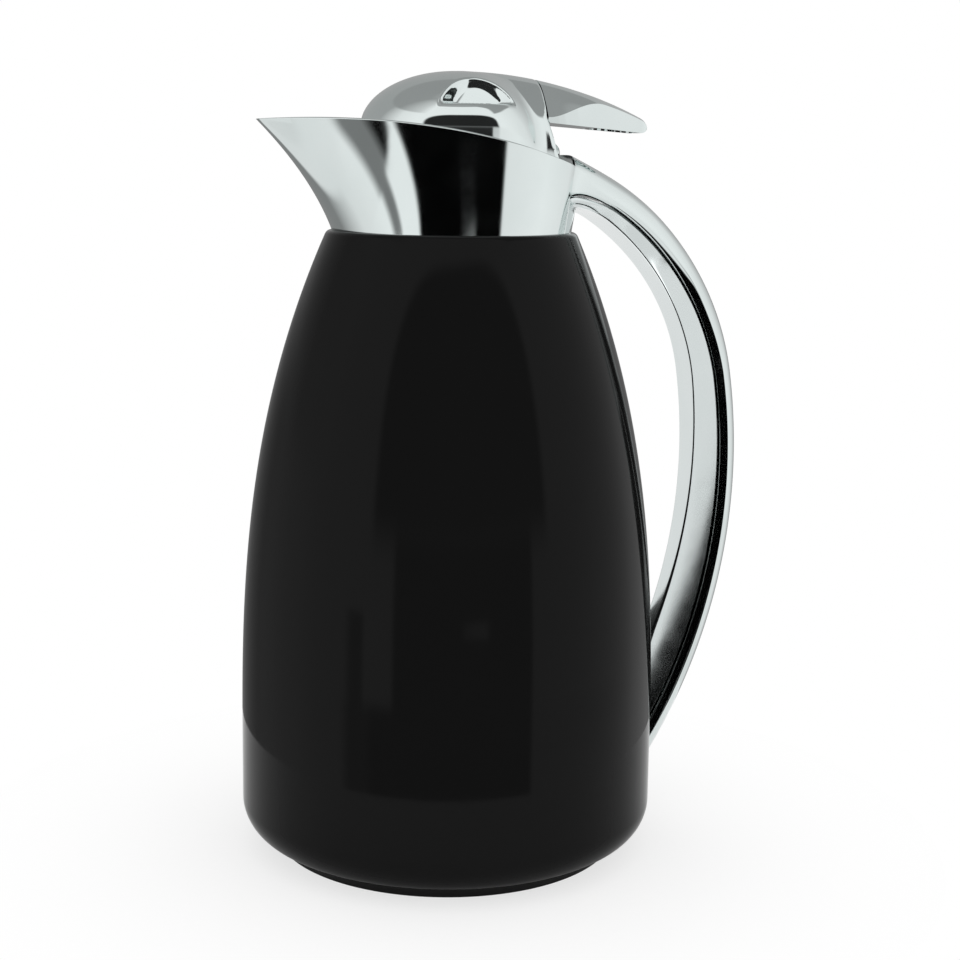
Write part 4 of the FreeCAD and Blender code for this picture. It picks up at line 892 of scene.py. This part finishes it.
@dataclass
class Lid:
    """Chromed dome with its ridge and side hollows, and the thumb lever that runs on from the ridge."""

    centre_x: float = 1.0
    radius: float = 32.5
    crown: float = 18.2
    spine_bow: float = 139.0
    spine_peak: float = 3.0
    front_radius: float = 31.0
    rear_radius: float = 29.0
    spring_fall: float = 8.0
    arch_low: float = 234.0
    arch_half: float = 19.7
    arch_taper: float = 0.2
    rear_x: float = 27.2
    rear_lean: float = 0.3
    wall: float = 2.0
    seam: float = 0.5
    hollow_x: float = 3.2
    hollow_half: float = 15.4
    hollow_wall: float = 16.8
    hollow_rim: float = 29.0
    hollow_slope: float = 1.4
    hollow_bow: float = 0.8
    ledge_z: float = 248.7
    ledge_y: float = 20.5
    skirt_dip: float = np.radians(11.0)
    hinge: Pair = HINGE
    # Outer and inner radius of the hood over the hinge and half its width.
    hood: Triple = (3.3, 2.85, 13.4)
    hood_turns: tuple[float, float, int] = (-25.0, 235.0, 61)
    hood_round: float = 4.0
    hood_wall: float = 0.5
    hood_rows: int = 9
    root_half: float = 16.8
    tip_half: float = 6.8
    tip_bow: float = 18.7
    root_low: float = 243.5
    tip_low: float = 240.6
    # Where the dome's spring line starts to fall to the rear, and over what length.
    spring_x: Pair = (6.0, 22.0)
    front_fall: float = 20.0
    ridge_span: Pair = (-60.0, 90.0)
    arch_least: float = 1.0
    rear_foot: float = 1.5
    # Factors that bring the slopes of the dome, the arch and the hollow's shelf and back wall near to one.
    dome_scale: float = 22.0
    arch_scale: float = 16.0
    shelf_scale: float = 0.6
    wall_slope: float = 1.6
    # Widths over which faces ease into each other: on the ridge, with the gain beside it and where that starts and
    # over what width it grows, then at the rear, in the hollow and at the hollow's brim.
    ridge_ease: Four = (0.3, 1.4, 3.0, 9.0)
    rear_ease: float = 0.8
    hollow_ease: float = 1.2
    brim_ease: float = 0.9
    # Degrees from the rear at which the skirt's dip starts and over which it grows, then where it ends and over
    # which it fades.
    dip_turns: Four = (27.0, 5.0, 105.0, 50.0)
    ray_reach: Pair = (60.0, 1.0)
    # Degrees at which the hollows end, and how far to each side of that the columns lie close together.
    hollow_ends: Four = (58.0, 115.0, 245.0, 302.0)
    close_span: float = 8.0
    turns: int = 300
    close_turns: int = 45
    rises: int = 150
    lining_step: int = 10
    # The lever's tip: how far from its end it rounds off, how fully, how much it narrows and what height it closes to.
    tip_round: float = 2.4
    tip_power: float = 2.2
    tip_narrow: float = 0.14
    tip_middle: float = 0.45
    # Height of the crease as a share of the lever's: at the root, its climb, the share of the length that this
    # takes, and the even gain to the tip.
    crease: Four = (0.12, 0.55, 0.55, 0.16)
    flank: float = 0.93
    leaf_power: float = 1.9
    # The hollow below: its edge and wall as shares of the half width, where it starts and over what length, the
    # share of the lever at which it ends and over what share, and its depth, the ribs' part of it and its limit.
    pocket_edge: Pair = (0.84, 0.04)
    pocket_start: Pair = (47.0, 1.5)
    pocket_end: Pair = (0.955, 0.02)
    pocket_depth: Triple = (0.55, 0.4, 4.0)
    # Pitch of the ribs, half the gap between two, width of their sides, and where they start.
    ribs: Four = (2.4, 0.5, 0.2, 49.0)
    lever_columns: int = 110
    lever_crowding: float = 1.6
    flank_rows: int = 9
    leaf_rows: int = 45

    def __post_init__(self) -> None:
        """Take the dome's top and foot and the lever's tip from the solids."""
        low, high = box_mm("lid_dome")
        self.top = float(high[2])
        self.foot = float(low[2])
        self.spring = self.top - self.crown
        self.tip_x = float(box_mm("thumb_lever")[1][0])

    def spine(self, x: np.ndarray) -> np.ndarray:
        """Height of the ridge: one large arc whose peak lies near the dome's middle."""
        return self.top - self.spine_bow + np.sqrt(self.spine_bow ** 2 - (x - self.spine_peak) ** 2)

    def field(self, spot: np.ndarray) -> np.ndarray:
        """Signed distance, roughly in millimetres, outside the dome.

        An ellipsoid on a short upright skirt is joined softly to an arch that follows the ridge to the rear. A cove
        with a level ledge, a sloping floor and a curved back wall is taken out of each side.

        Args:
            spot: points as (..., 3).

        Returns:
            Positive values outside and negative values inside.
        """
        x, y, z = spot[..., 0], np.abs(spot[..., 1]), spot[..., 2]
        fall_from, fall_span = self.spring_x
        spring = self.spring - self.spring_fall * smooth_step((x - fall_from) / fall_span)
        rise = np.maximum(z - spring, 0.0) / (self.top - spring)
        length = np.where(x > self.centre_x, self.rear_radius, self.front_radius)
        dome = np.sqrt(((x - self.centre_x) / length) ** 2 + (y / self.radius) ** 2 + rise ** 2) - 1.0
        before = np.maximum(self.spine_peak - x, 0.0)
        ridge = np.where(before > 0, self.top - before ** 2 / self.front_fall,
                         self.spine(np.clip(x, *self.ridge_span)))
        ridge = np.maximum(ridge, self.arch_low + self.arch_least)
        half = self.arch_half + self.arch_taper * (self.rear_x - x)
        arch = np.hypot(y / half, np.maximum(z - self.arch_low, 0.0) / (ridge - self.arch_low)) - 1.0
        least, gain, gain_from, gain_span = self.ridge_ease
        body = self.soft_least(dome * self.dome_scale, arch * self.arch_scale,
                               least + gain * smooth_step((y - gain_from) / gain_span))
        rear = x - self.rear_x - self.rear_lean * np.maximum(self.root_low + self.rear_foot - z, 0.0)
        body = -self.soft_least(-body, -rear, self.rear_ease)
        body = np.maximum(body, z - self.top)
        end = np.abs(x - self.hollow_x) / self.hollow_half
        bow = (np.hypot(end, self.hollow_bow) - self.hollow_bow) / (np.hypot(1.0, self.hollow_bow) - self.hollow_bow)
        back = self.hollow_wall + (self.hollow_rim - self.hollow_wall) * bow - y
        shelf = self.ledge_z + self.hollow_slope * np.maximum(self.ledge_y - y, 0.0) - z
        wall = back / np.hypot(1.0, self.wall_slope * end / np.hypot(end, self.hollow_bow))
        bite = -self.soft_least(-wall, -shelf * self.shelf_scale, self.hollow_ease)
        return -self.soft_least(-body, bite, self.brim_ease)

    @staticmethod
    def soft_least(one: np.ndarray, other: np.ndarray, width: float) -> np.ndarray:
        """Lesser of two values, eased by a quadratic where they differ by less than the width."""
        share = np.clip(0.5 + 0.5 * (other - one) / width, 0.0, 1.0)
        return other + (one - other) * share - width * share * (1 - share)

    def build_dome(self) -> None:
        """Make the dome: rays from the middle of its foot are followed to where the field is nought."""
        skin = Skin()
        turn = self.dome_turns()
        behind = np.abs((turn + np.pi) % (2 * np.pi) - np.pi)
        dip_from, dip_span, dip_end, end_span = np.radians(self.dip_turns)
        dip = smooth_step((behind - dip_from) / dip_span)
        dip = self.skirt_dip * dip * smooth_step((dip_end - behind) / end_span)
        rise = np.linspace(0.0, 1.0, self.rises)[:, None] * (np.pi / 2 + dip) - dip
        way = place(np.cos(turn) * np.cos(rise), np.sin(turn) * np.cos(rise), np.sin(rise))
        middle = np.array([self.centre_x, 0.0, self.foot])
        far, near = self.ray_reach
        reach = bisect(np.full(way.shape[:2], far), np.full(way.shape[:2], near),
                       lambda reach: self.field(middle + way * reach[..., None]))[..., None]
        outer = middle + way * reach
        rows = [*range(0, self.rises - 1, self.lining_step), self.rises - 1]
        inner = (middle + way * reach * (1 - self.wall / self.radius))[rows]
        skin.add(outer, wrap=True)
        skin.add(inner, flip=True, wrap=True)
        skin.add(np.stack([inner[0], outer[0]]), wrap=True)
        self.add_hood(skin)
        skin.piece("lid_dome_skin", Body.LID, ("lid_dome",), Finishes.CHROME)

    def dome_turns(self) -> np.ndarray:
        """Angles of the dome's columns, closer together where the ends of the hollows run towards the middle."""
        even = np.linspace(0.0, 2 * np.pi, self.turns, endpoint=False)
        ends = np.radians(self.hollow_ends)[:, None]
        close = ends + np.radians(np.linspace(-self.close_span, self.close_span, self.close_turns))
        return np.unique(np.round(np.concatenate([even, close.ravel()]), 6))

    def add_hood(self, skin: Skin) -> None:
        """Add the rounded hood over the hinge: a tube about the pin, open below, with closed ends."""
        outer, inner, half = self.hood
        flat = half - self.hood_round
        turn = np.radians(np.linspace(*self.hood_turns))
        bead = np.radians(np.linspace(0.0, 90.0, self.hood_rows))[:, None]
        radius = np.concatenate([0 * bead + 1.0, np.cos(bead[1:])])
        across = np.concatenate([flat * bead / bead[-1], flat + self.hood_round * np.sin(bead[1:])])
        shell, lining = (place(self.hinge[0] + size * radius * np.cos(turn), across * share + 0 * turn,
                               self.hinge[1] + size * radius * np.sin(turn))
                         for size, share in ((outer, 1.0), (inner, 1 - self.hood_wall / half)))
        skin.add_pair(shell)
        skin.add_pair(lining, flip=True)
        for edge, flip in ((0, False), (-1, True)):
            skin.add_pair(np.stack([shell[:, edge], lining[:, edge]]), flip=flip)

    def build_lever(self) -> None:
        """Make the lever: a leaf that runs on from the ridge, with a hollow ribbed underside.

        Across, a low arch sits on two flanks. The crease between them climbs from the root's foot towards the tip.
        """
        skin = Skin()
        share = 1 - (1 - np.linspace(0.0, 1.0, self.lever_columns)) ** self.lever_crowding
        first = self.rear_x + self.seam
        x = first + (self.tip_x - first) * share
        end = np.clip((x - (self.tip_x - self.tip_round)) / self.tip_round, 0.0, 1.0)
        close = np.sqrt(np.maximum(1 - end ** self.tip_power, 0.0))
        half = (self.root_half + (self.tip_half - self.root_half) * share) * (1 - self.tip_narrow * (1 - close))
        low = self.root_low + (self.tip_low - self.root_low) * share
        high = self.spine(x)
        middle = low + self.tip_middle * (high - low)
        low = middle + (low - middle) * close
        high = middle + (high - middle) * close
        root_crease, rise, rise_span, gain = self.crease
        crease = root_crease + rise * smooth_step(share / rise_span) + gain * share
        climb = np.linspace(0.0, 1.0, self.flank_rows)[:, None]
        over = np.linspace(1.0, -1.0, self.leaf_rows)[1:-1, None]
        flank_y = half * (self.flank + (1 - self.flank) * climb)
        flank_z = crease * climb
        y = np.concatenate([flank_y, half * over, -flank_y[::-1]])
        leaf_z = crease + (1 - crease) * (1 - np.abs(over) ** self.leaf_power)
        up = np.concatenate([flank_z, leaf_z, flank_z[::-1]])
        z = low + (high - low) * up
        skin.add(place(self.bowed(x, y, share), y, z), flip=True)
        edge, step = self.pocket_edge
        half_across = np.array([(edge - step) / 2, edge - step, edge, 1.0])
        across = np.concatenate([-half_across[::-1], [0.0], half_across])[:, None]
        inside = smooth_step((edge - np.abs(across)) / step)
        pitch, land, slope, ribs_x = self.ribs
        ribs = smooth_step((np.abs(x % pitch - pitch / 2) - land) / slope) * smooth_step(x - ribs_x)
        start, start_span = self.pocket_start
        stop, stop_span = self.pocket_end
        deep = smooth_step((x - start) / start_span) * smooth_step((stop - share) / stop_span)
        depth, rib, most = self.pocket_depth
        under_y = half * self.flank * across
        under_z = low + inside * deep * (depth - rib * ribs) * np.minimum(crease * (high - low), most)
        skin.add(place(self.bowed(x, under_y, share), under_y, under_z), flip=True)
        root = np.stack([place(x[0], y[:, 0], z[:, 0]),
                         place(x[0], np.linspace(y[0, 0], y[-1, 0], len(y)), low[0])])
        skin.add(root)
        skin.piece("thumb_lever_skin", Body.LID, ("thumb_lever",), Finishes.CHROME)

    def bowed(self, x: np.ndarray, y: np.ndarray, share: np.ndarray) -> np.ndarray:
        """Draw the tip's sides back along an arc in plan."""
        return x - share ** 4 * (self.tip_bow - np.sqrt(self.tip_bow ** 2 - y ** 2))


@dataclass
class PourFunnel:
    """Funnel floor round the pouring seat with the two slim ears that carry the hinge pin."""

    hinge: Pair = HINGE
    ear_radius: float = 2.4
    ear_arc: tuple[float, float, int] = (-20.0, 200.0, 24)
    ear_inner: float = 8.15
    ear_outer: float = 11.0
    ear_foot: Pair = (26.3, 34.3)
    bevel: float = 3.0
    floor: float = 2.0
    fit: float = 0.1
    segments: int = 128

    def build(self) -> None:
        """Make the turned floor with its raised ring, and the ears as drawn-up plates with rounded heads."""
        low, high = box_mm("pour_funnel")
        hole = float(box_mm("pour_seat")[1][1]) + self.fit
        rim = float(high[1])
        top = float(low[2]) + self.floor
        skin = Skin()
        profile = np.array([[hole, low[2]], [rim, low[2]], [rim, top], [hole + self.bevel, top],
                            [hole, top + self.bevel], [hole, low[2]]])
        skin.add(lathe(profile, self.segments), wrap=True)
        head = arc(self.hinge, self.ear_radius, *self.ear_arc)
        base = float(low[2]) + self.floor / 2
        outline = np.concatenate([[[self.ear_foot[1], base]], head, [[self.ear_foot[0], base]]])
        middle = np.tile([self.hinge[0], (base + self.hinge[1]) / 2], (len(outline), 1))
        loops = [(middle, self.ear_inner), (outline, self.ear_inner), (outline, self.ear_outer),
                 (middle, self.ear_outer)]
        grid = np.stack([place(line[:, 0], across, line[:, 1]) for line, across in loops])
        skin.add(grid, wrap=True)
        skin.add(grid[::-1] * MIRROR, wrap=True)
        skin.piece("pour_funnel_skin", Body.JUG, ("pour_funnel",), Finishes.PLASTIC)


@dataclass
class Inside:
    """Pieces that keep their solids: they only get their finishes."""

    frame: dict

    def dress(self, shown: set[str]) -> None:
        """Give each carried-over solid the finish of its slot.

        Args:
            shown: nodes that a drawn piece stands for.
        """
        finishes = Finishes.by_slot()
        for part in self.frame["record"]["subparts"]:
            node = part["node"]
            if node in shown:
                continue
            mesh = self.frame["nodes"][node].data
            mesh.materials.clear()
            mesh.materials.append(finishes[part["material_slot"]].material())
            LOG.info("%s: %s", node, part["material_slot"])


def panels(back: float, left: float, right: float, front: tuple = (), post: float = 1.0) -> tuple:
    """Stops of a ring with a light panel on each side, a dark gap in front and a back wall.

    Args:
        back: brightness of the back wall.
        left: bearing at which the left panel ends.
        right: bearing at which the right panel starts.
        front: stops inside the gap, if it is not all dark.
        post: brightness of a narrow post in the left panel.

    Returns:
        Pairs of bearing and brightness.
    """
    return ((-180.0, back), (-130.0, back), (-90.0, 0.85), (-58.0, 1.0), (-53.0, post), (-48.0, post), (-45.0, 1.0),
            (left - 3.0, 1.0), (left, 0.0), *front, (right, 0.0), (right + 2.0, 0.9), (90.0, 1.0), (125.0, 0.9),
            (160.0, back), (180.0, back))


@dataclass
class Studio:
    """White studio: soft light all round, a white floor, dark gaps between the light panels, and the camera."""

    camera_mm: Triple = (-135.0, -584.7, 233.2)
    turn: float = np.radians(-14.0)
    tilt: float = 0.1785
    roll: float = 0.0135
    focal_px: float = 1806.0
    frame_px: float = 960.0
    sensor_mm: float = 36.0
    clip_m: float = 0.01
    # Radii of the floor's rings from its edge inwards, and the distances at which it starts to fade to pure white
    # and ends, with the share of white at the start.
    floor_mm: Triple = (170.0, 100.0, 1.0)
    floor_fade: Triple = (60.0, 165.0, 0.7)
    floor_segments: int = 96
    fibre_mm: float = 2.5
    zenith: float = 0.4
    grip_light: Pair = (0.85, 0.6)
    grip_panel_mm: Pair = (110.0, 190.0)
    grip_panel_at: Triple = (30.6, 160.0, 129.1)
    grip_panel_turn: float = np.radians(44.2)
    # Rings of the room from the floor up: the height in degrees at which each ends, how softly, and its stops,
    # which are bearings in degrees right of the camera's side with the brightness there.
    rings: tuple = (
        (-36.0, 4.0, ((-180.0, 0.8), (180.0, 0.8))),
        (-26.0, 4.0, ((-180.0, 0.8), (-45.0, 0.9), (-42.0, 0.0), (46.0, 0.0), (48.0, 0.85), (180.0, 0.8))),
        (-14.5, 1.2, ((-180.0, 0.25), (-130.0, 0.25), (-90.0, 0.85), (-60.0, 0.95), (-54.0, 0.22), (-45.0, 0.22),
                      (-40.0, 0.0), (46.0, 0.0), (48.0, 0.9), (125.0, 0.9), (160.0, 0.25), (180.0, 0.25))),
        (-8.2, 0.6, panels(0.25, -28.0, 46.0, post=0.22)),
        (-6.6, 0.2, panels(0.25, -28.0, 46.0, ((7.0, 0.0), (10.0, 0.5), (18.0, 0.8), (22.0, 0.7), (23.0, 0.0)),
                           post=0.22)),
        (4.0, 8.0, panels(0.25, -28.0, 46.0)),
        (41.0, 4.0, ((-180.0, 0.4), (-110.0, 0.4), (-80.0, 0.9), (-55.0, 1.0), (70.0, 1.0), (115.0, 0.9),
                     (150.0, 0.5), (180.0, 0.4))),
        (74.0, 8.0, ((-180.0, 0.33), (-100.0, 0.35), (-60.0, 0.7), (-45.0, 1.0), (57.0, 1.0), (62.0, 0.35),
                     (180.0, 0.33))),
    )
    # Dark screen with an arched top at the camera's side: bearing of its middle, half width, height at which the
    # arch starts, rise of the arch, all in degrees.
    screen: Four = (7.0, 50.0, 10.0, 31.0)
    screen_power: float = 3.0
    # Sums of the two powers between which the screen's edge softens, radians of height over which its foot does, and
    # its brightness.
    screen_edge: Pair = (1.15, 0.85)
    screen_foot: Pair = (-0.03, 0.1)
    screen_grey: float = 0.02

    def build(self) -> None:
        """Set the view, the world, the grip's light panels, the floor and the camera."""
        bpy.context.scene.view_settings.view_transform = "Standard"
        self.light()
        self.grip_panels()
        self.floor()
        self.camera()

    def light(self) -> None:
        """Light the scene evenly, and give polished metal a room with panels and gaps to mirror.

        The bearing and height of a ray come from its direction. A ramp over the bearing gives each ring of the
        room, and each ring fades into the next one above it at its own height.
        """
        world = bpy.data.worlds.new("studio")
        bpy.context.scene.world = world
        world.use_nodes = True
        tree = world.node_tree
        tree.nodes.clear()
        spot = add_node(tree, "ShaderNodeTexCoord", {}, {})
        parts = add_node(tree, "ShaderNodeSeparateXYZ", {}, {"Vector": spot.outputs["Generated"]})
        facing = np.arctan2(self.camera_mm[1], self.camera_mm[0])
        bearing = maths(tree, "ARCTAN2", parts.outputs["Y"], parts.outputs["X"])
        turns = maths(tree, "DIVIDE", maths(tree, "SUBTRACT", bearing, facing - np.pi), 2 * np.pi)
        share = maths(tree, "FRACT", turns)
        layers = []
        for _, _, stops in self.rings:
            ramp = add_node(tree, "ShaderNodeValToRGB", {}, {"Fac": share})
            self.fill(ramp.color_ramp.elements, stops)
            layers.append(ramp.outputs["Color"])
        colour = layers[0]
        for (end, soft, _), above in zip(self.rings, [*layers[1:], grey(self.zenith)]):
            colour = self.fade(tree, parts, end, soft, colour, above)
        colour = self.darken(tree, parts, share, colour)
        path = add_node(tree, "ShaderNodeLightPath", {}, {})
        tint = blend(tree, path.outputs["Is Glossy Ray"], grey(1.0), colour)
        glow = add_node(tree, "ShaderNodeBackground", {"Strength": 1.0}, {"Color": tint})
        add_node(tree, "ShaderNodeOutputWorld", {}, {"Surface": glow.outputs["Background"]})

    def darken(self, tree: NodeTree, parts: Node, share: NodeSocket, colour: NodeSocket) -> NodeSocket:
        """Stand a dark screen with an arched top at the camera's side: powers of its offsets add up to less than one.

        Args:
            tree: the world's node tree.
            parts: node whose Z output is the sine of the ray's height.
            share: socket with the bearing as a share of a full turn, half of it at the camera's side.
            colour: colour of the room.

        Returns:
            The socket with the room's colour, dark where the screen stands.
        """
        middle, half, start, rise = np.radians(self.screen)
        height = maths(tree, "ARCSINE", parts.outputs["Z"])
        across = maths(tree, "ABSOLUTE", maths(tree, "SUBTRACT", share, 0.5 + middle / (2 * np.pi)))
        across = maths(tree, "POWER", maths(tree, "MULTIPLY", across, 2 * np.pi / half), self.screen_power)
        above = maths(tree, "MAXIMUM", maths(tree, "SUBTRACT", height, start), 0.0)
        above = maths(tree, "POWER", maths(tree, "DIVIDE", above, rise), self.screen_power)
        inside = eased(tree, maths(tree, "ADD", across, above), *self.screen_edge)
        upper = eased(tree, height, *self.screen_foot)
        return blend(tree, maths(tree, "MULTIPLY", inside, upper), colour, grey(self.screen_grey))

    @staticmethod
    def fill(elements: ColorRampElements, stops: tuple) -> None:
        """Set a ramp's stops from bearings and grey values."""
        while len(elements) < len(stops):
            elements.new(0.5)
        for element, (angle, value) in zip(elements, stops):
            element.position = (angle + 180.0) / 360.0
            element.color = grey(value)

    @staticmethod
    def fade(tree: NodeTree, parts: Node, end: float, soft: float, colour: NodeSocket,
             above: NodeSocket | tuple) -> NodeSocket:
        """Fade one colour into another over a band of heights.

        Args:
            tree: the world's node tree.
            parts: node whose Z output is the sine of the ray's height.
            end: height in degrees in the middle of the band.
            soft: width of the band in degrees.
            colour: colour below the band.
            above: colour above it.

        Returns:
            The socket with the faded colour.
        """
        low, high = np.sin(np.radians([end - soft / 2, end + soft / 2]))
        return blend(tree, eased(tree, parts.outputs["Z"], float(low), float(high)), colour, above)

    def grip_panels(self) -> None:
        """Hang a light panel on each side of the handle that only the grip half mirrors."""
        lit = bpy.data.collections.new("grip_panel_lights")
        lit.objects.link(bpy.data.objects["handle_insert_skin"])
        for side in (-1.0, 1.0):
            lamp = bpy.data.lights.new("grip_panel", "AREA")
            lamp.shape = "RECTANGLE"
            lamp.size = self.grip_panel_mm[0] * MM
            lamp.size_y = self.grip_panel_mm[1] * MM
            lamp.energy = self.grip_light[side > 0] * np.pi * lamp.size * lamp.size_y
            panel = bpy.data.objects.new("grip_panel", lamp)
            panel.location = np.array(self.grip_panel_at) * (MM, side * MM, MM)
            panel.rotation_euler = (-side * np.pi / 2, self.grip_panel_turn, 0.0)
            panel.visible_camera = False
            bpy.context.collection.objects.link(panel)
            panel.light_linking.receiver_collection = lit

    def floor(self) -> None:
        """Lay a round white floor that keeps the jug's soft shadow and fades to pure white for the camera."""
        disc = Skin()
        disc.add(lathe(np.array([[radius, 0.0] for radius in self.floor_mm]), self.floor_segments), wrap=True)
        mesh = disc.mesh("floor")
        material = bpy.data.materials.new("white_paper_sweep")
        material.use_nodes = True
        tree = material.node_tree
        tree.nodes.clear()
        spot = add_node(tree, "ShaderNodeTexCoord", {}, {})
        fibre = add_node(tree, "ShaderNodeTexNoise", {"Scale": 1.0 / (self.fibre_mm * MM), "Detail": 2.0},
                         {"Vector": spot.outputs["Object"]})
        shade = blend(tree, fibre.outputs["Fac"], linear("#fefefe"), linear("#ffffff"))
        paper = add_node(tree, "ShaderNodeBsdfDiffuse", {}, {"Color": shade})
        glow = add_node(tree, "ShaderNodeEmission", {"Strength": 1.0}, {"Color": shade})
        path = add_node(tree, "ShaderNodeLightPath", {}, {})
        far = add_node(tree, "ShaderNodeVectorMath", {"operation": "LENGTH"}, {0: spot.outputs["Object"]})
        near, end, start = self.floor_fade
        white = eased(tree, far.outputs["Value"], near * MM, end * MM, start)
        seen = maths(tree, "MULTIPLY", path.outputs["Is Camera Ray"], white)
        both = add_node(tree, "ShaderNodeMixShader", {},
                        {0: seen, 1: paper.outputs["BSDF"], 2: glow.outputs["Emission"]})
        add_node(tree, "ShaderNodeOutputMaterial", {}, {"Surface": both.outputs["Shader"]})
        mesh.materials.append(material)
        floor = bpy.data.objects.new("floor", mesh)
        bpy.context.collection.objects.link(floor)

    def camera(self) -> None:
        """Set the camera of the photograph: turned to the spout's side, tilted down and rolled a little."""
        right = np.array([np.cos(self.turn), np.sin(self.turn), 0.0])
        ahead = np.array([-np.sin(self.turn) * np.cos(self.tilt), np.cos(self.turn) * np.cos(self.tilt),
                          -np.sin(self.tilt)])
        up = np.cross(right, ahead)
        rolled = right * np.cos(self.roll) + up * np.sin(self.roll)
        upright = up * np.cos(self.roll) - right * np.sin(self.roll)
        axes = np.stack([rolled, upright, -ahead], axis=1)
        lens = bpy.data.cameras.new("camera")
        lens.sensor_width = self.sensor_mm
        lens.lens = self.focal_px / self.frame_px * lens.sensor_width
        lens.clip_start = self.clip_m
        camera = bpy.data.objects.new("camera", lens)
        place_m = np.array(self.camera_mm) * MM
        camera.matrix_world = Matrix([[*axes[i], place_m[i]] for i in range(3)] + [[0.0, 0.0, 0.0, 1.0]])
        bpy.context.collection.objects.link(camera)
        bpy.context.scene.camera = camera


def main() -> None:
    """Load the frame, build each sub-assembly, dress the rest and set the studio."""
    logging.basicConfig(level=logging.INFO, format="%(name)s %(message)s")
    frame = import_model()
    jacket = Jacket()
    jacket.build()
    collar = CollarAndHandle(jacket)
    collar.build_shell()
    collar.build_insert()
    lid = Lid()
    lid.build_dome()
    lid.build_lever()
    PourFunnel().build()
    Inside(frame).dress({"body_casing", "base_ring", "collar_handle_shell", "handle_insert", "lid_dome",
                         "thumb_lever", "pour_funnel"})
    Studio().build()


if __name__ == "__main__":
    main()
